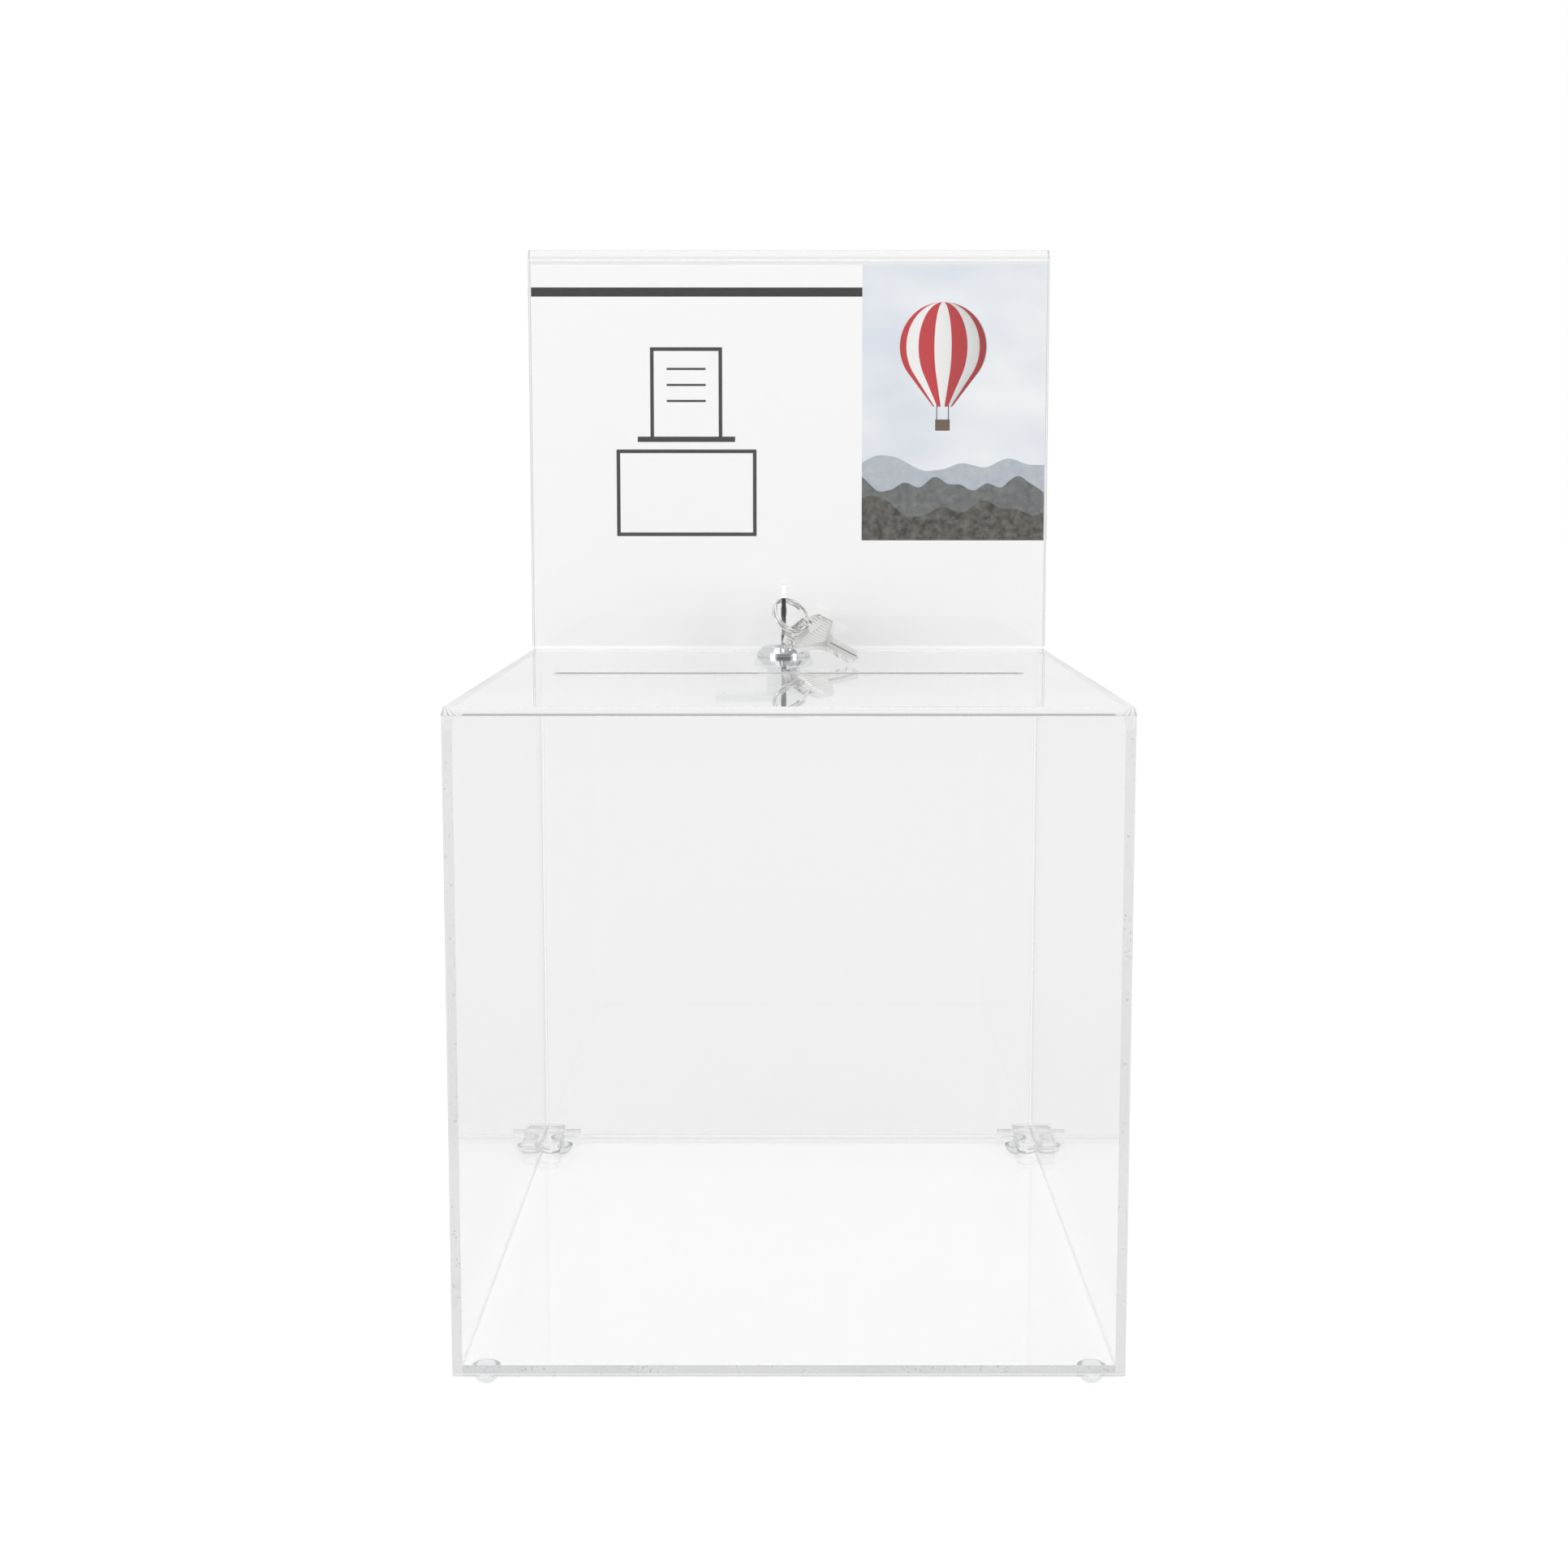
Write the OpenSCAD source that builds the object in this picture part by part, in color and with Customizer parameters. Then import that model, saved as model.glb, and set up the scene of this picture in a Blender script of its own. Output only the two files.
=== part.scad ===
// Clear acrylic drop box: a bent sheet with a ballot slot and a sign pocket, glued sides and floor,
// a back door on two pins, and a cam lock with its keys. Millimetres, +Z up, the front faces -Y.
// The origin is under the middle of the box, on the plane that the feet stand on.

/* [Box] */
// width over the side walls
box_w = 212; // [160:1:400]
// depth from front face to back face
box_d = 212; // [160:1:400]
// height of the box without its feet
box_h = 212; // [120:1:500]
// thickness of the clear sheet
sheet_t = 3; // [2:0.5:5]
// outer radius of the bend between front and lid
front_bend_r = 4; // [3.5:0.5:8]
// inner radius of the bend between lid and sign panel
back_bend_r = 1.5; // [1:0.5:3]
// length of the chamfer at the front-top corner of each side wall
wall_chamfer = 4; // [2:0.5:8]

/* [Ballot slot] */
// distance of each end of the slot from the side face
slot_end = 21; // [12:1:60]
// width of the slot
slot_w = 6; // [5:0.5:15]
// distance of the slot behind the middle of the box
slot_back = 0.5; // [-20:0.5:20]

/* [Sign holder] */
// height of the sign holder above the lid
sign_h = 163; // [80:1:300]
// outer radius of the fold at the top
fold_r = 4.25; // [3.75:0.25:8]
// gap between the flap and the lid
flap_lift = 1.4; // [0.5:0.1:4]
// gap between the printed card and each side edge of the holder
card_side = 1; // [0:0.5:30]
// distance of the card's top edge below the fold
card_drop = 3; // [3:1:100]
// thickness of the printed card
card_t = 0.6; // [0.3:0.1:1]
// distance of the card behind the flap
card_gap = 0.3; // [0.2:0.1:0.5]

/* [Door and hinge] */
// gap between the door and each side wall
door_gap = 0.5; // [0.3:0.1:1]
// gap between the floor and the door's lower edge
door_lift = 0.8; // [0.7:0.1:1.5]
// distance of the door's outer top edge below the lid's top face
door_tuck = 0.8; // [0.8:0.1:2]
// height of the hinge axis above the floor's top face
axis_up = 2.4; // [2.4:0.1:4]
// width of each hinge block
block_w = 7.8; // [5:0.1:12]
// length of each hinge block
block_l = 23; // [12:0.5:40]
// radius of each hinge pin
pin_r = 0.75; // [0.5:0.05:0.9]
// length of each hinge pin
pin_l = 12; // [8:0.5:20]

/* [Cam lock] */
// distance of the lock's axis left of the middle
lock_left = 2; // [0:0.5:20]
// gap between the cam's end and the strike when locked
cam_clear = 0.6; // [0.4:0.1:3]
// radius of the lock's head
head_r = 10.5; // [10:0.25:14]
// height of the lock's head above the lid
head_h = 3.6; // [2:0.1:6]
// radius of the threaded barrel
barrel_r = 8; // [7.5:0.1:9]
// length of the barrel below the lid's top face
barrel_l = 17; // [15:0.5:25]
// width of the barrel over its two flats
flats_w = 13.2; // [13:0.1:15]
// radius of the plug
plug_r = 5.42; // [5:0.01:5.6]
// reach of the cam from the lock's axis
cam_reach = 27.4; // [24:0.1:34]
// thickness of the cam
cam_t = 2.4; // [1.5:0.1:4]

/* [Keys] */
// height of a key's tip above the barrel's lower end
tip_up = 1.9; // [0.5:0.1:6]
// width of a key's blade
blade_w = 5.6; // [4:0.1:6]
// thickness of a key's blade
blade_t = 2; // [1.5:0.1:2.4]
// length of a key's bow
bow_l = 20; // [16:0.5:26]
// width of a key's bow
bow_w = 19; // [14:0.5:26]
// thickness of a key's bow
bow_t = 1.8; // [1.2:0.1:2.2]
// height of the bow's lower edge above the lid when the key is in the lock
bow_up = 8.3; // [6:0.1:14]
// middle radius of the split ring
ring_r = 7.7; // [7:0.1:12]
// thickness of the split ring's wire
wire_d = 1.1; // [0.8:0.1:1.2]

/* [Feet] */
// height of each bumper foot
foot_h = 3.8; // [2:0.1:6]
// radius of each bumper foot
foot_r = 4.5; // [3:0.1:8]
// distance of each foot's centre from the side faces
foot_side = 10.1; // [6:0.1:30]
// distance of each front foot's centre from the front face
foot_front = 5.3; // [5:0.1:30]
// distance of each back foot's centre from the back face
foot_back = 9; // [6:0.1:30]

/* [Hidden] */

fine = 96;
small = 40;
// allowance that cutting shapes run past a face
over = 1;

half_w = box_w / 2;
front_y = -box_d / 2;
back_y = box_d / 2;
base_z = foot_h;
floor_z = base_z + sheet_t;
lid_z = base_z + box_h;
under_z = lid_z - sheet_t;
inner_w = box_w - 2 * sheet_t;
top_z = lid_z + sign_h;
back_out_r = back_bend_r + sheet_t;
slot_l = box_w - 2 * slot_end;
card_w = box_w - 2 * card_side;
card_h = sign_h - sheet_t - card_drop;
flap_y = back_y - 2 * fold_r;
flap_z = lid_z + flap_lift;

// hinge
axis_y = back_y - sheet_t / 2;
axis_z = floor_z + axis_up;
door_w = inner_w - 2 * door_gap;
door_z = floor_z + door_lift;
block_gap = 0.5;
notch_w = block_w - door_gap + block_gap;
notch_z = axis_z + axis_up + block_gap;
block_h = 2 * axis_up;
pin_play = 0.05;
pin_in = 6;
bore_in = pin_l - pin_in - block_gap;

// lock
lock_x = -lock_left;
strike_t = 3;
lock_y = back_y - sheet_t - strike_t - cam_clear - cam_reach;
bore_play = 0.08;
bore_r = plug_r + bore_play;
barrel_z = lid_z - barrel_l;
rim_r = 6.6;
rim_bevel = 2.2;
face_sink = 1;
plug_top = lid_z + head_h - face_sink;
shoulder_gap = 0.2;
plug_z = barrel_z - shoulder_gap;
washer_t = 0.8;
washer_r = 10.8;
nut_t = 3;
nut_af = 20;
thread_play = 0.06;
thread_depth = 0.5;
thread_pitch = 1.4;
thread_first = 0.9;
thread_count = floor((barrel_l - 2 * thread_first) / thread_pitch);
hole_play = 0.15;
stop_t = 1;
stop_h = 0.9;
stop_in_r = 5.8;
stop_out_r = 6.5;
tab_r = 6.4;
stop_disc_r = 5.6;
tab_angle = 20;
stop_spare_angle = 4;
tail_w = 6.5;
tail_play = 0.1;
tail_short = 0.2;
cam_top = plug_z - stop_t;
cam_z = cam_top - cam_t;
tail_z = cam_z + tail_short;
screw_r = 1.9;
screw_play = 0.05;
screw_head_r = 4.2;
screw_head_h = 2.2;
screw_l = 6;
recess_w = 0.9;
recess_l = 4.6;
recess_h = 1.2;

// cam, hook and strike
hub_r = 8.5;
arm_w = 14;
post_r = 2;
hook_end = 5.4;
post_reach = cam_reach - hook_end;
post_play = 0.4;
hook_open_angle = 135;
shelf_drop = 0.8;
shelf_z = cam_z - shelf_drop;
strike_w = 18;
strike_h = 16;
shelf_end = 2.2;
shelf_out = strike_t + cam_clear + hook_end + post_r + shelf_end;
post_over = 0.8;

// wafers and their springs
wafer_count = 5;
wafer_first = 1.6;
wafer_pitch = 2.6;
wafer_t = 0.9;
wafer_slot_t = 1.1;
wafer_w = 5.2;
wafer_slot_w = 5.5;
wafer_r = 5.3;
window_w = 2.7;
window_l = 6.4;
lug_x = 4.2;
lug_slot_x = 4.45;
lug_l = 1;
lug_low = 1;
lug_slot_low = 1.4;
spring_x = 3.4;
spring_r = 0.56;
spring_wire_r = 0.11;
spring_l = 2.5;
spring_turns = 3.8;
spring_gap = 0.12;
pocket_r = 0.84;
pocket_end = 2.95;
groove_w = 5.8;
groove_r = 6.9;

// keyway and keys
key_play = 0.07;
key_side_play = 0.1;
blade_l = barrel_l + bow_up - tip_up;
key_l = blade_l + bow_l;
key_z = barrel_z + tip_up;
keyway_end = 0.5;
bow_chamfer = 4.9;
hole_in = 5.2;
hole_w = 5.2;
hole_l = 10;
bar_w = 3.6;
bar_l = 13;
bar_t = 2.4;
bar_off = 0.3;
tip_w = 2.4;
tip_run = 1.8;
neck_run = 4.9;
mill_w = 1.4;
mill_t = 0.5;
tooth_first = 4;
tooth_pitch = 2.7;
tooth_run = 1.1;
tooth_depth = 1.3;
tooth_shares = [0.5, 0.95, 0.3, 0.75, 0.55];

// the split ring: two turns with one crossing, hung in the hole of the key in the lock
wire_gap = 0.45;
ring_turn_pitch = wire_d + wire_gap;
ring_normal_shares = [0.508, -0.596, 0.622];
ring_side_shares = [0.730, 0.681, 0.056];
ring_down_shares = cross(ring_normal_shares, ring_side_shares);
ring_start_angle = 22;
ring_end_angle = 672;
cross_start_angle = 312;
cross_run_angle = 70;
ring_steps = 66;
ring_sides = 10;
wire_in_hole = [0.371, -0.951, -1.68];
to_key_shares = [-0.3327, 0.6234, 0.7076];
ring_mid = [lock_x, lock_y, lid_z + bow_up + bow_l - hole_in] + wire_in_hole - ring_r * to_key_shares;

// the spare key hangs on the ring by its hole and slopes down to its tip
to_spare_shares = [0.507, -0.482, -0.7146];
hole_from_wire = [0.356, -0.38, 0.354];
spare_hole = ring_mid + ring_r * to_spare_shares + hole_from_wire;
spare_tip_up = 2.54;
spare_heading = 32.37;
spare_roll = -125.11;
spare_tilt = asin((spare_hole[2] - lid_z - spare_tip_up) / (key_l - hole_in));

// feet
foot_flat = 0.2;
foot_ball_r = (foot_r * foot_r + (foot_h + foot_flat) * (foot_h + foot_flat)) / (2 * (foot_h + foot_flat));
foot_steps = 9;

module clear() { color([0.93, 0.95, 0.96, 0.35]) children(); }
module plated() { color([0.80, 0.81, 0.83]) children(); }

// a tube along X through the point y, z
module along_x(r, l, x, y, z, n = small) {
  translate([x, y, z]) rotate([0, 90, 0]) cylinder(r = r, h = l, $fn = n);
}

// a quarter of a bend in the YZ plane, about the point y, z, towards the side sy, sz
module bend(y, z, r, sy, sz) {
  translate([y, z]) intersection() {
    difference() {
      circle(r = r, $fn = fine);
      circle(r = r - sheet_t, $fn = fine);
    }
    translate([sy < 0 ? -r : 0, sz < 0 ? -r : 0]) square([r, r]);
  }
}

// a straight run of the sheet in the YZ plane
module run(y, z, dy, dz) {
  translate([y, z]) square([dy, dz]);
}

module bent_sheet() clear() {
  back_z = under_z + back_out_r;
  fold_z = top_z - fold_r;
  difference() {
    translate([-half_w, 0, 0]) rotate([90, 0, 90]) linear_extrude(height = box_w) {
      run(front_y, base_z, sheet_t, box_h - front_bend_r);
      bend(front_y + front_bend_r, lid_z - front_bend_r, front_bend_r, -1, 1);
      run(front_y + front_bend_r, under_z, box_d - front_bend_r - back_out_r, sheet_t);
      bend(back_y - back_out_r, back_z, back_out_r, 1, -1);
      run(back_y - sheet_t, back_z, sheet_t, fold_z - back_z);
      bend(back_y - fold_r, fold_z, fold_r, 1, 1);
      bend(back_y - fold_r, fold_z, fold_r, -1, 1);
      run(flap_y, flap_z, sheet_t, fold_z - flap_z);
    }
    // ballot slot with round ends
    translate([-slot_l / 2 + slot_w / 2, slot_back - slot_w / 2, under_z - over])
      cube([slot_l - slot_w, slot_w, sheet_t + 2 * over]);
    for (s = [-1, 1]) translate([s * (slot_l - slot_w) / 2, slot_back, under_z - over])
      cylinder(r = slot_w / 2, h = sheet_t + 2 * over, $fn = small);
    // lock hole with two flats
    translate([lock_x, lock_y, under_z - over]) intersection() {
      cylinder(r = barrel_r + hole_play, h = sheet_t + 2 * over, $fn = fine);
      translate([-flats_w / 2 - hole_play, -barrel_r - over, 0])
        cube([flats_w + 2 * hole_play, 2 * barrel_r + 2 * over, sheet_t + 2 * over]);
    }
  }
}

// s is -1 for the left wall and 1 for the right one
module side_wall(s) {
  x = s < 0 ? -half_w : half_w - sheet_t;
  y = front_y + sheet_t;
  translate([x, 0, 0]) rotate([90, 0, 90]) linear_extrude(height = sheet_t)
    polygon([[y, base_z], [back_y, base_z], [back_y, under_z], [y + wall_chamfer, under_z],
             [y, under_z - wall_chamfer]]);
}
module left_wall() clear() side_wall(-1);
module right_wall() clear() side_wall(1);

module floor_panel() clear()
  translate([-inner_w / 2, front_y + sheet_t, base_z]) cube([inner_w, box_d - sheet_t, sheet_t]);

module back_door() clear() {
  y = back_y - sheet_t;
  difference() {
    translate([-door_w / 2, 0, 0]) rotate([90, 0, 90]) linear_extrude(height = door_w)
      polygon([[y, door_z], [back_y, door_z], [back_y, lid_z - door_tuck],
               [y, lid_z - door_tuck - sheet_t]]);
    for (s = [-1, 1]) {
      translate([s < 0 ? -door_w / 2 - over : door_w / 2 - notch_w, y - over, door_z - over])
        cube([notch_w + over, sheet_t + 2 * over, notch_z - door_z + over]);
      along_x(pin_r + pin_play, pin_in + over, s < 0 ? -door_w / 2 + notch_w - over : door_w / 2 - notch_w - pin_in,
              axis_y, axis_z);
    }
  }
}

module hinge_block(s) {
  x = s < 0 ? -inner_w / 2 : inner_w / 2 - block_w;
  nose_r = block_w / 2;
  difference() {
    union() {
      translate([x, back_y - block_l + nose_r, floor_z])
        cube([block_w, block_l - nose_r - back_y + axis_y, block_h]);
      translate([x + nose_r, back_y - block_l + nose_r, floor_z]) cylinder(r = nose_r, h = block_h, $fn = small);
      translate([x, axis_y, floor_z]) cube([block_w, back_y - axis_y, axis_up]);
      intersection() {
        along_x(axis_up, block_w, x, axis_y, axis_z);
        translate([x, axis_y, axis_z]) cube([block_w, back_y - axis_y, axis_up]);
      }
    }
    along_x(pin_r + pin_play, bore_in + over, s < 0 ? x + block_w - bore_in : x - over, axis_y, axis_z);
  }
}
module left_hinge_block() clear() hinge_block(-1);
module right_hinge_block() clear() hinge_block(1);

// clear rod; it leaves a little end play in both holes
module hinge_pin(s) {
  end_play = 0.3;
  inner_x = inner_w / 2 - block_w - block_gap - pin_in + end_play;
  x = s < 0 ? -inner_x - pin_l + 2 * end_play : inner_x;
  along_x(pin_r, pin_l - 2 * end_play, x, axis_y, axis_z);
}
module left_hinge_pin() clear() hinge_pin(-1);
module right_hinge_pin() clear() hinge_pin(1);

// angle bracket glued to the door, with the post that the cam hooks
module door_strike() clear() {
  y = back_y - sheet_t;
  z = shelf_z - strike_t;
  translate([lock_x - strike_w / 2, 0, 0]) rotate([90, 0, 90]) linear_extrude(height = strike_w)
    polygon([[y, z], [y, z + strike_h], [y - strike_t, z + strike_h], [y - strike_t, shelf_z],
             [y - shelf_out, shelf_z], [y - shelf_out, z]]);
  translate([lock_x, lock_y + post_reach, z]) cylinder(r = post_r, h = cam_top + post_over - z, $fn = small);
}

// a wedge of the plane from angle a to angle b, for cutting rings
module wedge(a, b, r, h) {
  n = 12;
  linear_extrude(height = h)
    polygon(concat([[0, 0]], [for (i = [0 : n]) 2 * r * [cos(a + (b - a) * i / n), sin(a + (b - a) * i / n)]]));
}

module lock_housing() plated() translate([lock_x, lock_y, 0]) {
  flat_h = lid_z - barrel_z;
  difference() {
    rotate_extrude($fn = fine)
      polygon(concat(
        [[bore_r, barrel_z], [barrel_r - thread_depth, barrel_z], [barrel_r, barrel_z + thread_first / 2]],
        [for (i = [0 : thread_count - 1]) each [
          [barrel_r, barrel_z + thread_first + i * thread_pitch],
          [barrel_r - thread_depth, barrel_z + thread_first + (i + 0.5) * thread_pitch],
          [barrel_r, barrel_z + thread_first + (i + 1) * thread_pitch - over / 5]]],
        [[barrel_r, lid_z], [head_r, lid_z], [head_r, lid_z + head_h - rim_bevel],
         [head_r - rim_bevel, lid_z + head_h], [rim_r, lid_z + head_h], [bore_r, lid_z + head_h - face_sink]]));
    for (s = [-1, 1]) translate([s < 0 ? -flats_w / 2 - 2 * over - barrel_r : flats_w / 2, -barrel_r - over, barrel_z - over])
      cube([barrel_r + 2 * over, 2 * barrel_r + 2 * over, flat_h + over]);
    // grooves that the wafers spring into
    translate([-groove_w / 2, -groove_r, barrel_z - over]) cube([groove_w, 2 * groove_r, flat_h + over / 2]);
  }
  // stop that limits the turn
  intersection() {
    translate([0, 0, barrel_z - stop_h]) difference() {
      cylinder(r = stop_out_r, h = stop_h + over / 2, $fn = fine);
      translate([0, 0, -over]) cylinder(r = stop_in_r, h = stop_h + 2 * over, $fn = fine);
    }
    translate([0, 0, barrel_z - stop_h])
      wedge(180 + tab_angle + stop_spare_angle, 450 - tab_angle - stop_spare_angle, head_r, stop_h + over / 2);
  }
}

module lock_washer() plated() translate([lock_x, lock_y, under_z - washer_t]) difference() {
  cylinder(r = washer_r, h = washer_t, $fn = fine);
  translate([0, 0, -over]) cylinder(r = barrel_r + hole_play, h = washer_t + 2 * over, $fn = fine);
  for (i = [0 : 11]) rotate([0, 0, 30 * i]) translate([washer_r - over, -over / 2, -over])
    cube([2 * over, over, washer_t + 2 * over]);
}

module lock_nut() plated() translate([lock_x, lock_y, under_z - washer_t - nut_t]) difference() {
  cylinder(r = nut_af / sqrt(3), h = nut_t, $fn = 6);
  translate([0, 0, -over]) cylinder(r = barrel_r + thread_play, h = nut_t + 2 * over, $fn = fine);
}

module lock_plug() plated() translate([lock_x, lock_y, 0]) difference() {
  union() {
    translate([0, 0, plug_z]) cylinder(r = plug_r, h = plug_top - plug_z, $fn = fine);
    translate([-tail_w / 2, -tail_w / 2, tail_z]) cube([tail_w, tail_w, plug_z - tail_z + over / 2]);
  }
  translate([-blade_t / 2 - key_play, -blade_w / 2 - key_side_play, key_z - keyway_end])
    cube([blade_t + 2 * key_play, blade_w + 2 * key_side_play, plug_top - key_z + keyway_end + over]);
  for (i = [0 : wafer_count - 1]) translate([0, 0, lid_z - wafer_first - i * wafer_pitch]) {
    translate([-wafer_slot_w / 2, -plug_r - over, -wafer_slot_t / 2]) cube([wafer_slot_w, 2 * plug_r + 2 * over, wafer_slot_t]);
    translate([0, -lug_slot_low, -wafer_slot_t / 2]) cube([lug_slot_x, lug_slot_low + lug_l / 2, wafer_slot_t]);
    translate([spring_x, 0, 0]) rotate([-90, 0, 0]) cylinder(r = pocket_r, h = pocket_end, $fn = small);
  }
  translate([0, 0, tail_z - over]) cylinder(r = screw_r + screw_play, h = screw_l + over, $fn = small);
}

module wafer_tumblers() color([0.78, 0.65, 0.35]) translate([lock_x, lock_y, 0])
  for (i = [0 : wafer_count - 1]) translate([0, 0, lid_z - wafer_first - i * wafer_pitch - wafer_t / 2])
    difference() {
      intersection() {
        cylinder(r = wafer_r, h = wafer_t, $fn = fine);
        union() {
          translate([-wafer_w / 2, -wafer_r, 0]) cube([wafer_w, 2 * wafer_r, wafer_t]);
          translate([0, -lug_low, 0]) cube([lug_x, lug_l, wafer_t]);
        }
      }
      translate([-window_w / 2, -window_l / 2, -over]) cube([window_w, window_l, wafer_t + 2 * over]);
    }

// a tube swept along the points p, each with the vector of its frame in f and g, closed by flat ends
module tube(p, f, g, r, n) {
  m = len(p);
  pts = [for (i = [0 : m - 1]) for (k = [0 : n - 1]) p[i] + r * (cos(360 * k / n) * f[i] + sin(360 * k / n) * g[i])];
  sides = [for (i = [0 : m - 2]) for (k = [0 : n - 1])
    let (a = i * n + k, b = i * n + (k + 1) % n) each [[a, b, b + n], [a, b + n, a + n]]];
  ends = [[for (k = [0 : n - 1]) n - 1 - k], [for (k = [0 : n - 1]) (m - 1) * n + k]];
  polyhedron(points = pts, faces = concat(sides, ends));
}
function unit(v) = v / norm(v);

module wafer_springs() color([0.75, 0.76, 0.78]) {
  steps = 12 * spring_turns;
  rise = (spring_l - 2 * spring_wire_r) / steps;
  p = [for (i = [0 : steps]) [spring_r * cos(30 * i), spring_gap + spring_wire_r + rise * i, spring_r * sin(30 * i)]];
  t = [for (i = [0 : steps]) unit([-spring_r * sin(30 * i) * PI / 6, rise, spring_r * cos(30 * i) * PI / 6])];
  f = [for (i = [0 : steps]) [cos(30 * i), 0, sin(30 * i)]];
  g = [for (i = [0 : steps]) cross(t[i], f[i])];
  for (i = [0 : wafer_count - 1]) translate([lock_x + spring_x, lock_y, lid_z - wafer_first - i * wafer_pitch])
    tube(p, f, g, spring_wire_r, 6);
}

module stop_washer() plated() translate([lock_x, lock_y, cam_top]) difference() {
  union() {
    cylinder(r = stop_disc_r, h = stop_t, $fn = fine);
    intersection() {
      cylinder(r = tab_r, h = stop_t, $fn = fine);
      wedge(180 - tab_angle, 180 + tab_angle, head_r, stop_t);
    }
  }
  translate([-tail_w / 2 - tail_play, -tail_w / 2 - tail_play, -over])
    cube([tail_w + 2 * tail_play, tail_w + 2 * tail_play, stop_t + 2 * over]);
}

// the arm points to -X when the lock is open; its hook opens towards +Y
module lock_cam() plated() translate([lock_x, lock_y, cam_z]) difference() {
  union() {
    cylinder(r = hub_r, h = cam_t, $fn = fine);
    intersection() {
      cylinder(r = cam_reach, h = cam_t, $fn = fine);
      translate([-cam_reach, -arm_w / 2, 0]) cube([cam_reach, arm_w, cam_t]);
    }
  }
  translate([-tail_w / 2 - tail_play, -tail_w / 2 - tail_play, -over])
    cube([tail_w + 2 * tail_play, tail_w + 2 * tail_play, cam_t + 2 * over]);
  translate([-post_reach, 0, -over]) cylinder(r = post_r + post_play, h = cam_t + 2 * over, $fn = small);
  intersection() {
    translate([0, 0, -over]) difference() {
      cylinder(r = post_reach + post_r + post_play, h = cam_t + 2 * over, $fn = fine);
      translate([0, 0, -over]) cylinder(r = post_reach - post_r - post_play, h = cam_t + 4 * over, $fn = fine);
    }
    translate([0, 0, -over]) wedge(hook_open_angle, 180, cam_reach, cam_t + 2 * over);
  }
}

module cam_screw() plated() translate([lock_x, lock_y, cam_z]) difference() {
  union() {
    translate([0, 0, -screw_head_h]) cylinder(r = screw_head_r, h = screw_head_h, $fn = small);
    translate([0, 0, -screw_head_h / 2]) cylinder(r = screw_r, h = screw_head_h / 2 + screw_l - over, $fn = small);
  }
  for (a = [0, 90]) rotate([0, 0, a]) translate([-recess_l / 2, -recess_w / 2, -screw_head_h - over])
    cube([recess_l, recess_w, recess_h + over]);
}

// one key, standing on its tip at the origin, its bow in the YZ plane
module key_shape() {
  v = bow_w / 2;
  c = bow_chamfer;
  teeth = [for (i = [0 : len(tooth_shares) - 1]) let (j = len(tooth_shares) - 1 - i, z = tooth_first + j * tooth_pitch)
    each [[-blade_w / 2, z + tooth_run], [-blade_w / 2 + tooth_depth * tooth_shares[j], z], [-blade_w / 2, z - tooth_run]]];
  difference() {
    union() {
      rotate([90, 0, 90]) translate([0, 0, -blade_t / 2]) linear_extrude(height = blade_t)
        polygon(concat([[-tip_w / 2, 0], [tip_w / 2, 0], [blade_w / 2, tip_run], [blade_w / 2, blade_l - neck_run],
          [v - c, blade_l], [v - c, blade_l + over], [c - v, blade_l + over], [c - v, blade_l],
          [-blade_w / 2, blade_l - neck_run]], teeth, [[-blade_w / 2, tip_run]]));
      rotate([90, 0, 90]) translate([0, 0, -bow_t / 2]) linear_extrude(height = bow_t)
        polygon([[c - v, blade_l], [v - c, blade_l], [v, blade_l + c], [v, key_l - c], [v - c, key_l], [c - v, key_l],
          [-v, key_l - c], [-v, blade_l + c]]);
      translate([-bar_t / 2, -bar_l / 2, blade_l + bow_l / 2 - bar_off - bar_w / 2]) cube([bar_t, bar_l, bar_w]);
    }
    translate([-bow_t, -(hole_l - hole_w) / 2, key_l - hole_in - hole_w / 2]) cube([2 * bow_t, hole_l - hole_w, hole_w]);
    for (s = [-1, 1]) along_x(hole_w / 2, 2 * bow_t, -bow_t, s * (hole_l - hole_w) / 2, key_l - hole_in);
    for (s = [-1, 1]) translate([s < 0 ? -blade_t / 2 - over : blade_t / 2 - mill_t, -mill_w / 2, -over])
      cube([mill_t + over, mill_w, blade_l - neck_run + over]);
  }
}
module key() plated() translate([lock_x, lock_y, key_z]) key_shape();
module spare_key() plated() translate(spare_hole) rotate([0, 0, spare_heading]) rotate([spare_tilt - 90, 0, 0])
  rotate([0, 0, spare_roll]) translate([0, 0, hole_in - key_l]) key_shape();

function ease(t) = t <= 0 ? 0 : t >= 1 ? 1 : t * t * (3 - 2 * t);
function ring_point(a) = ring_mid
  + ring_r * (cos(a) * unit(ring_side_shares) + sin(a) * unit(ring_down_shares))
  + ring_turn_pitch * (ease((a - cross_start_angle) / cross_run_angle) - 0.5) * unit(ring_normal_shares);
module key_ring() plated() {
  step = (ring_end_angle - ring_start_angle) / ring_steps;
  angles = [for (i = [0 : ring_steps]) ring_start_angle + i * step];
  p = [for (a = angles) ring_point(a)];
  t = [for (a = angles) unit(ring_point(a + 1) - ring_point(a - 1))];
  f = [for (i = [0 : ring_steps]) unit(cos(angles[i]) * unit(ring_side_shares) + sin(angles[i]) * unit(ring_down_shares))];
  g = [for (i = [0 : ring_steps]) unit(cross(t[i], f[i]))];
  tube(p, f, g, wire_d / 2, ring_sides);
}

module sign_card() color([0.86, 0.90, 0.94])
  translate([-card_w / 2, flap_y + sheet_t + card_gap, lid_z]) cube([card_w, card_t, card_h]);

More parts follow.
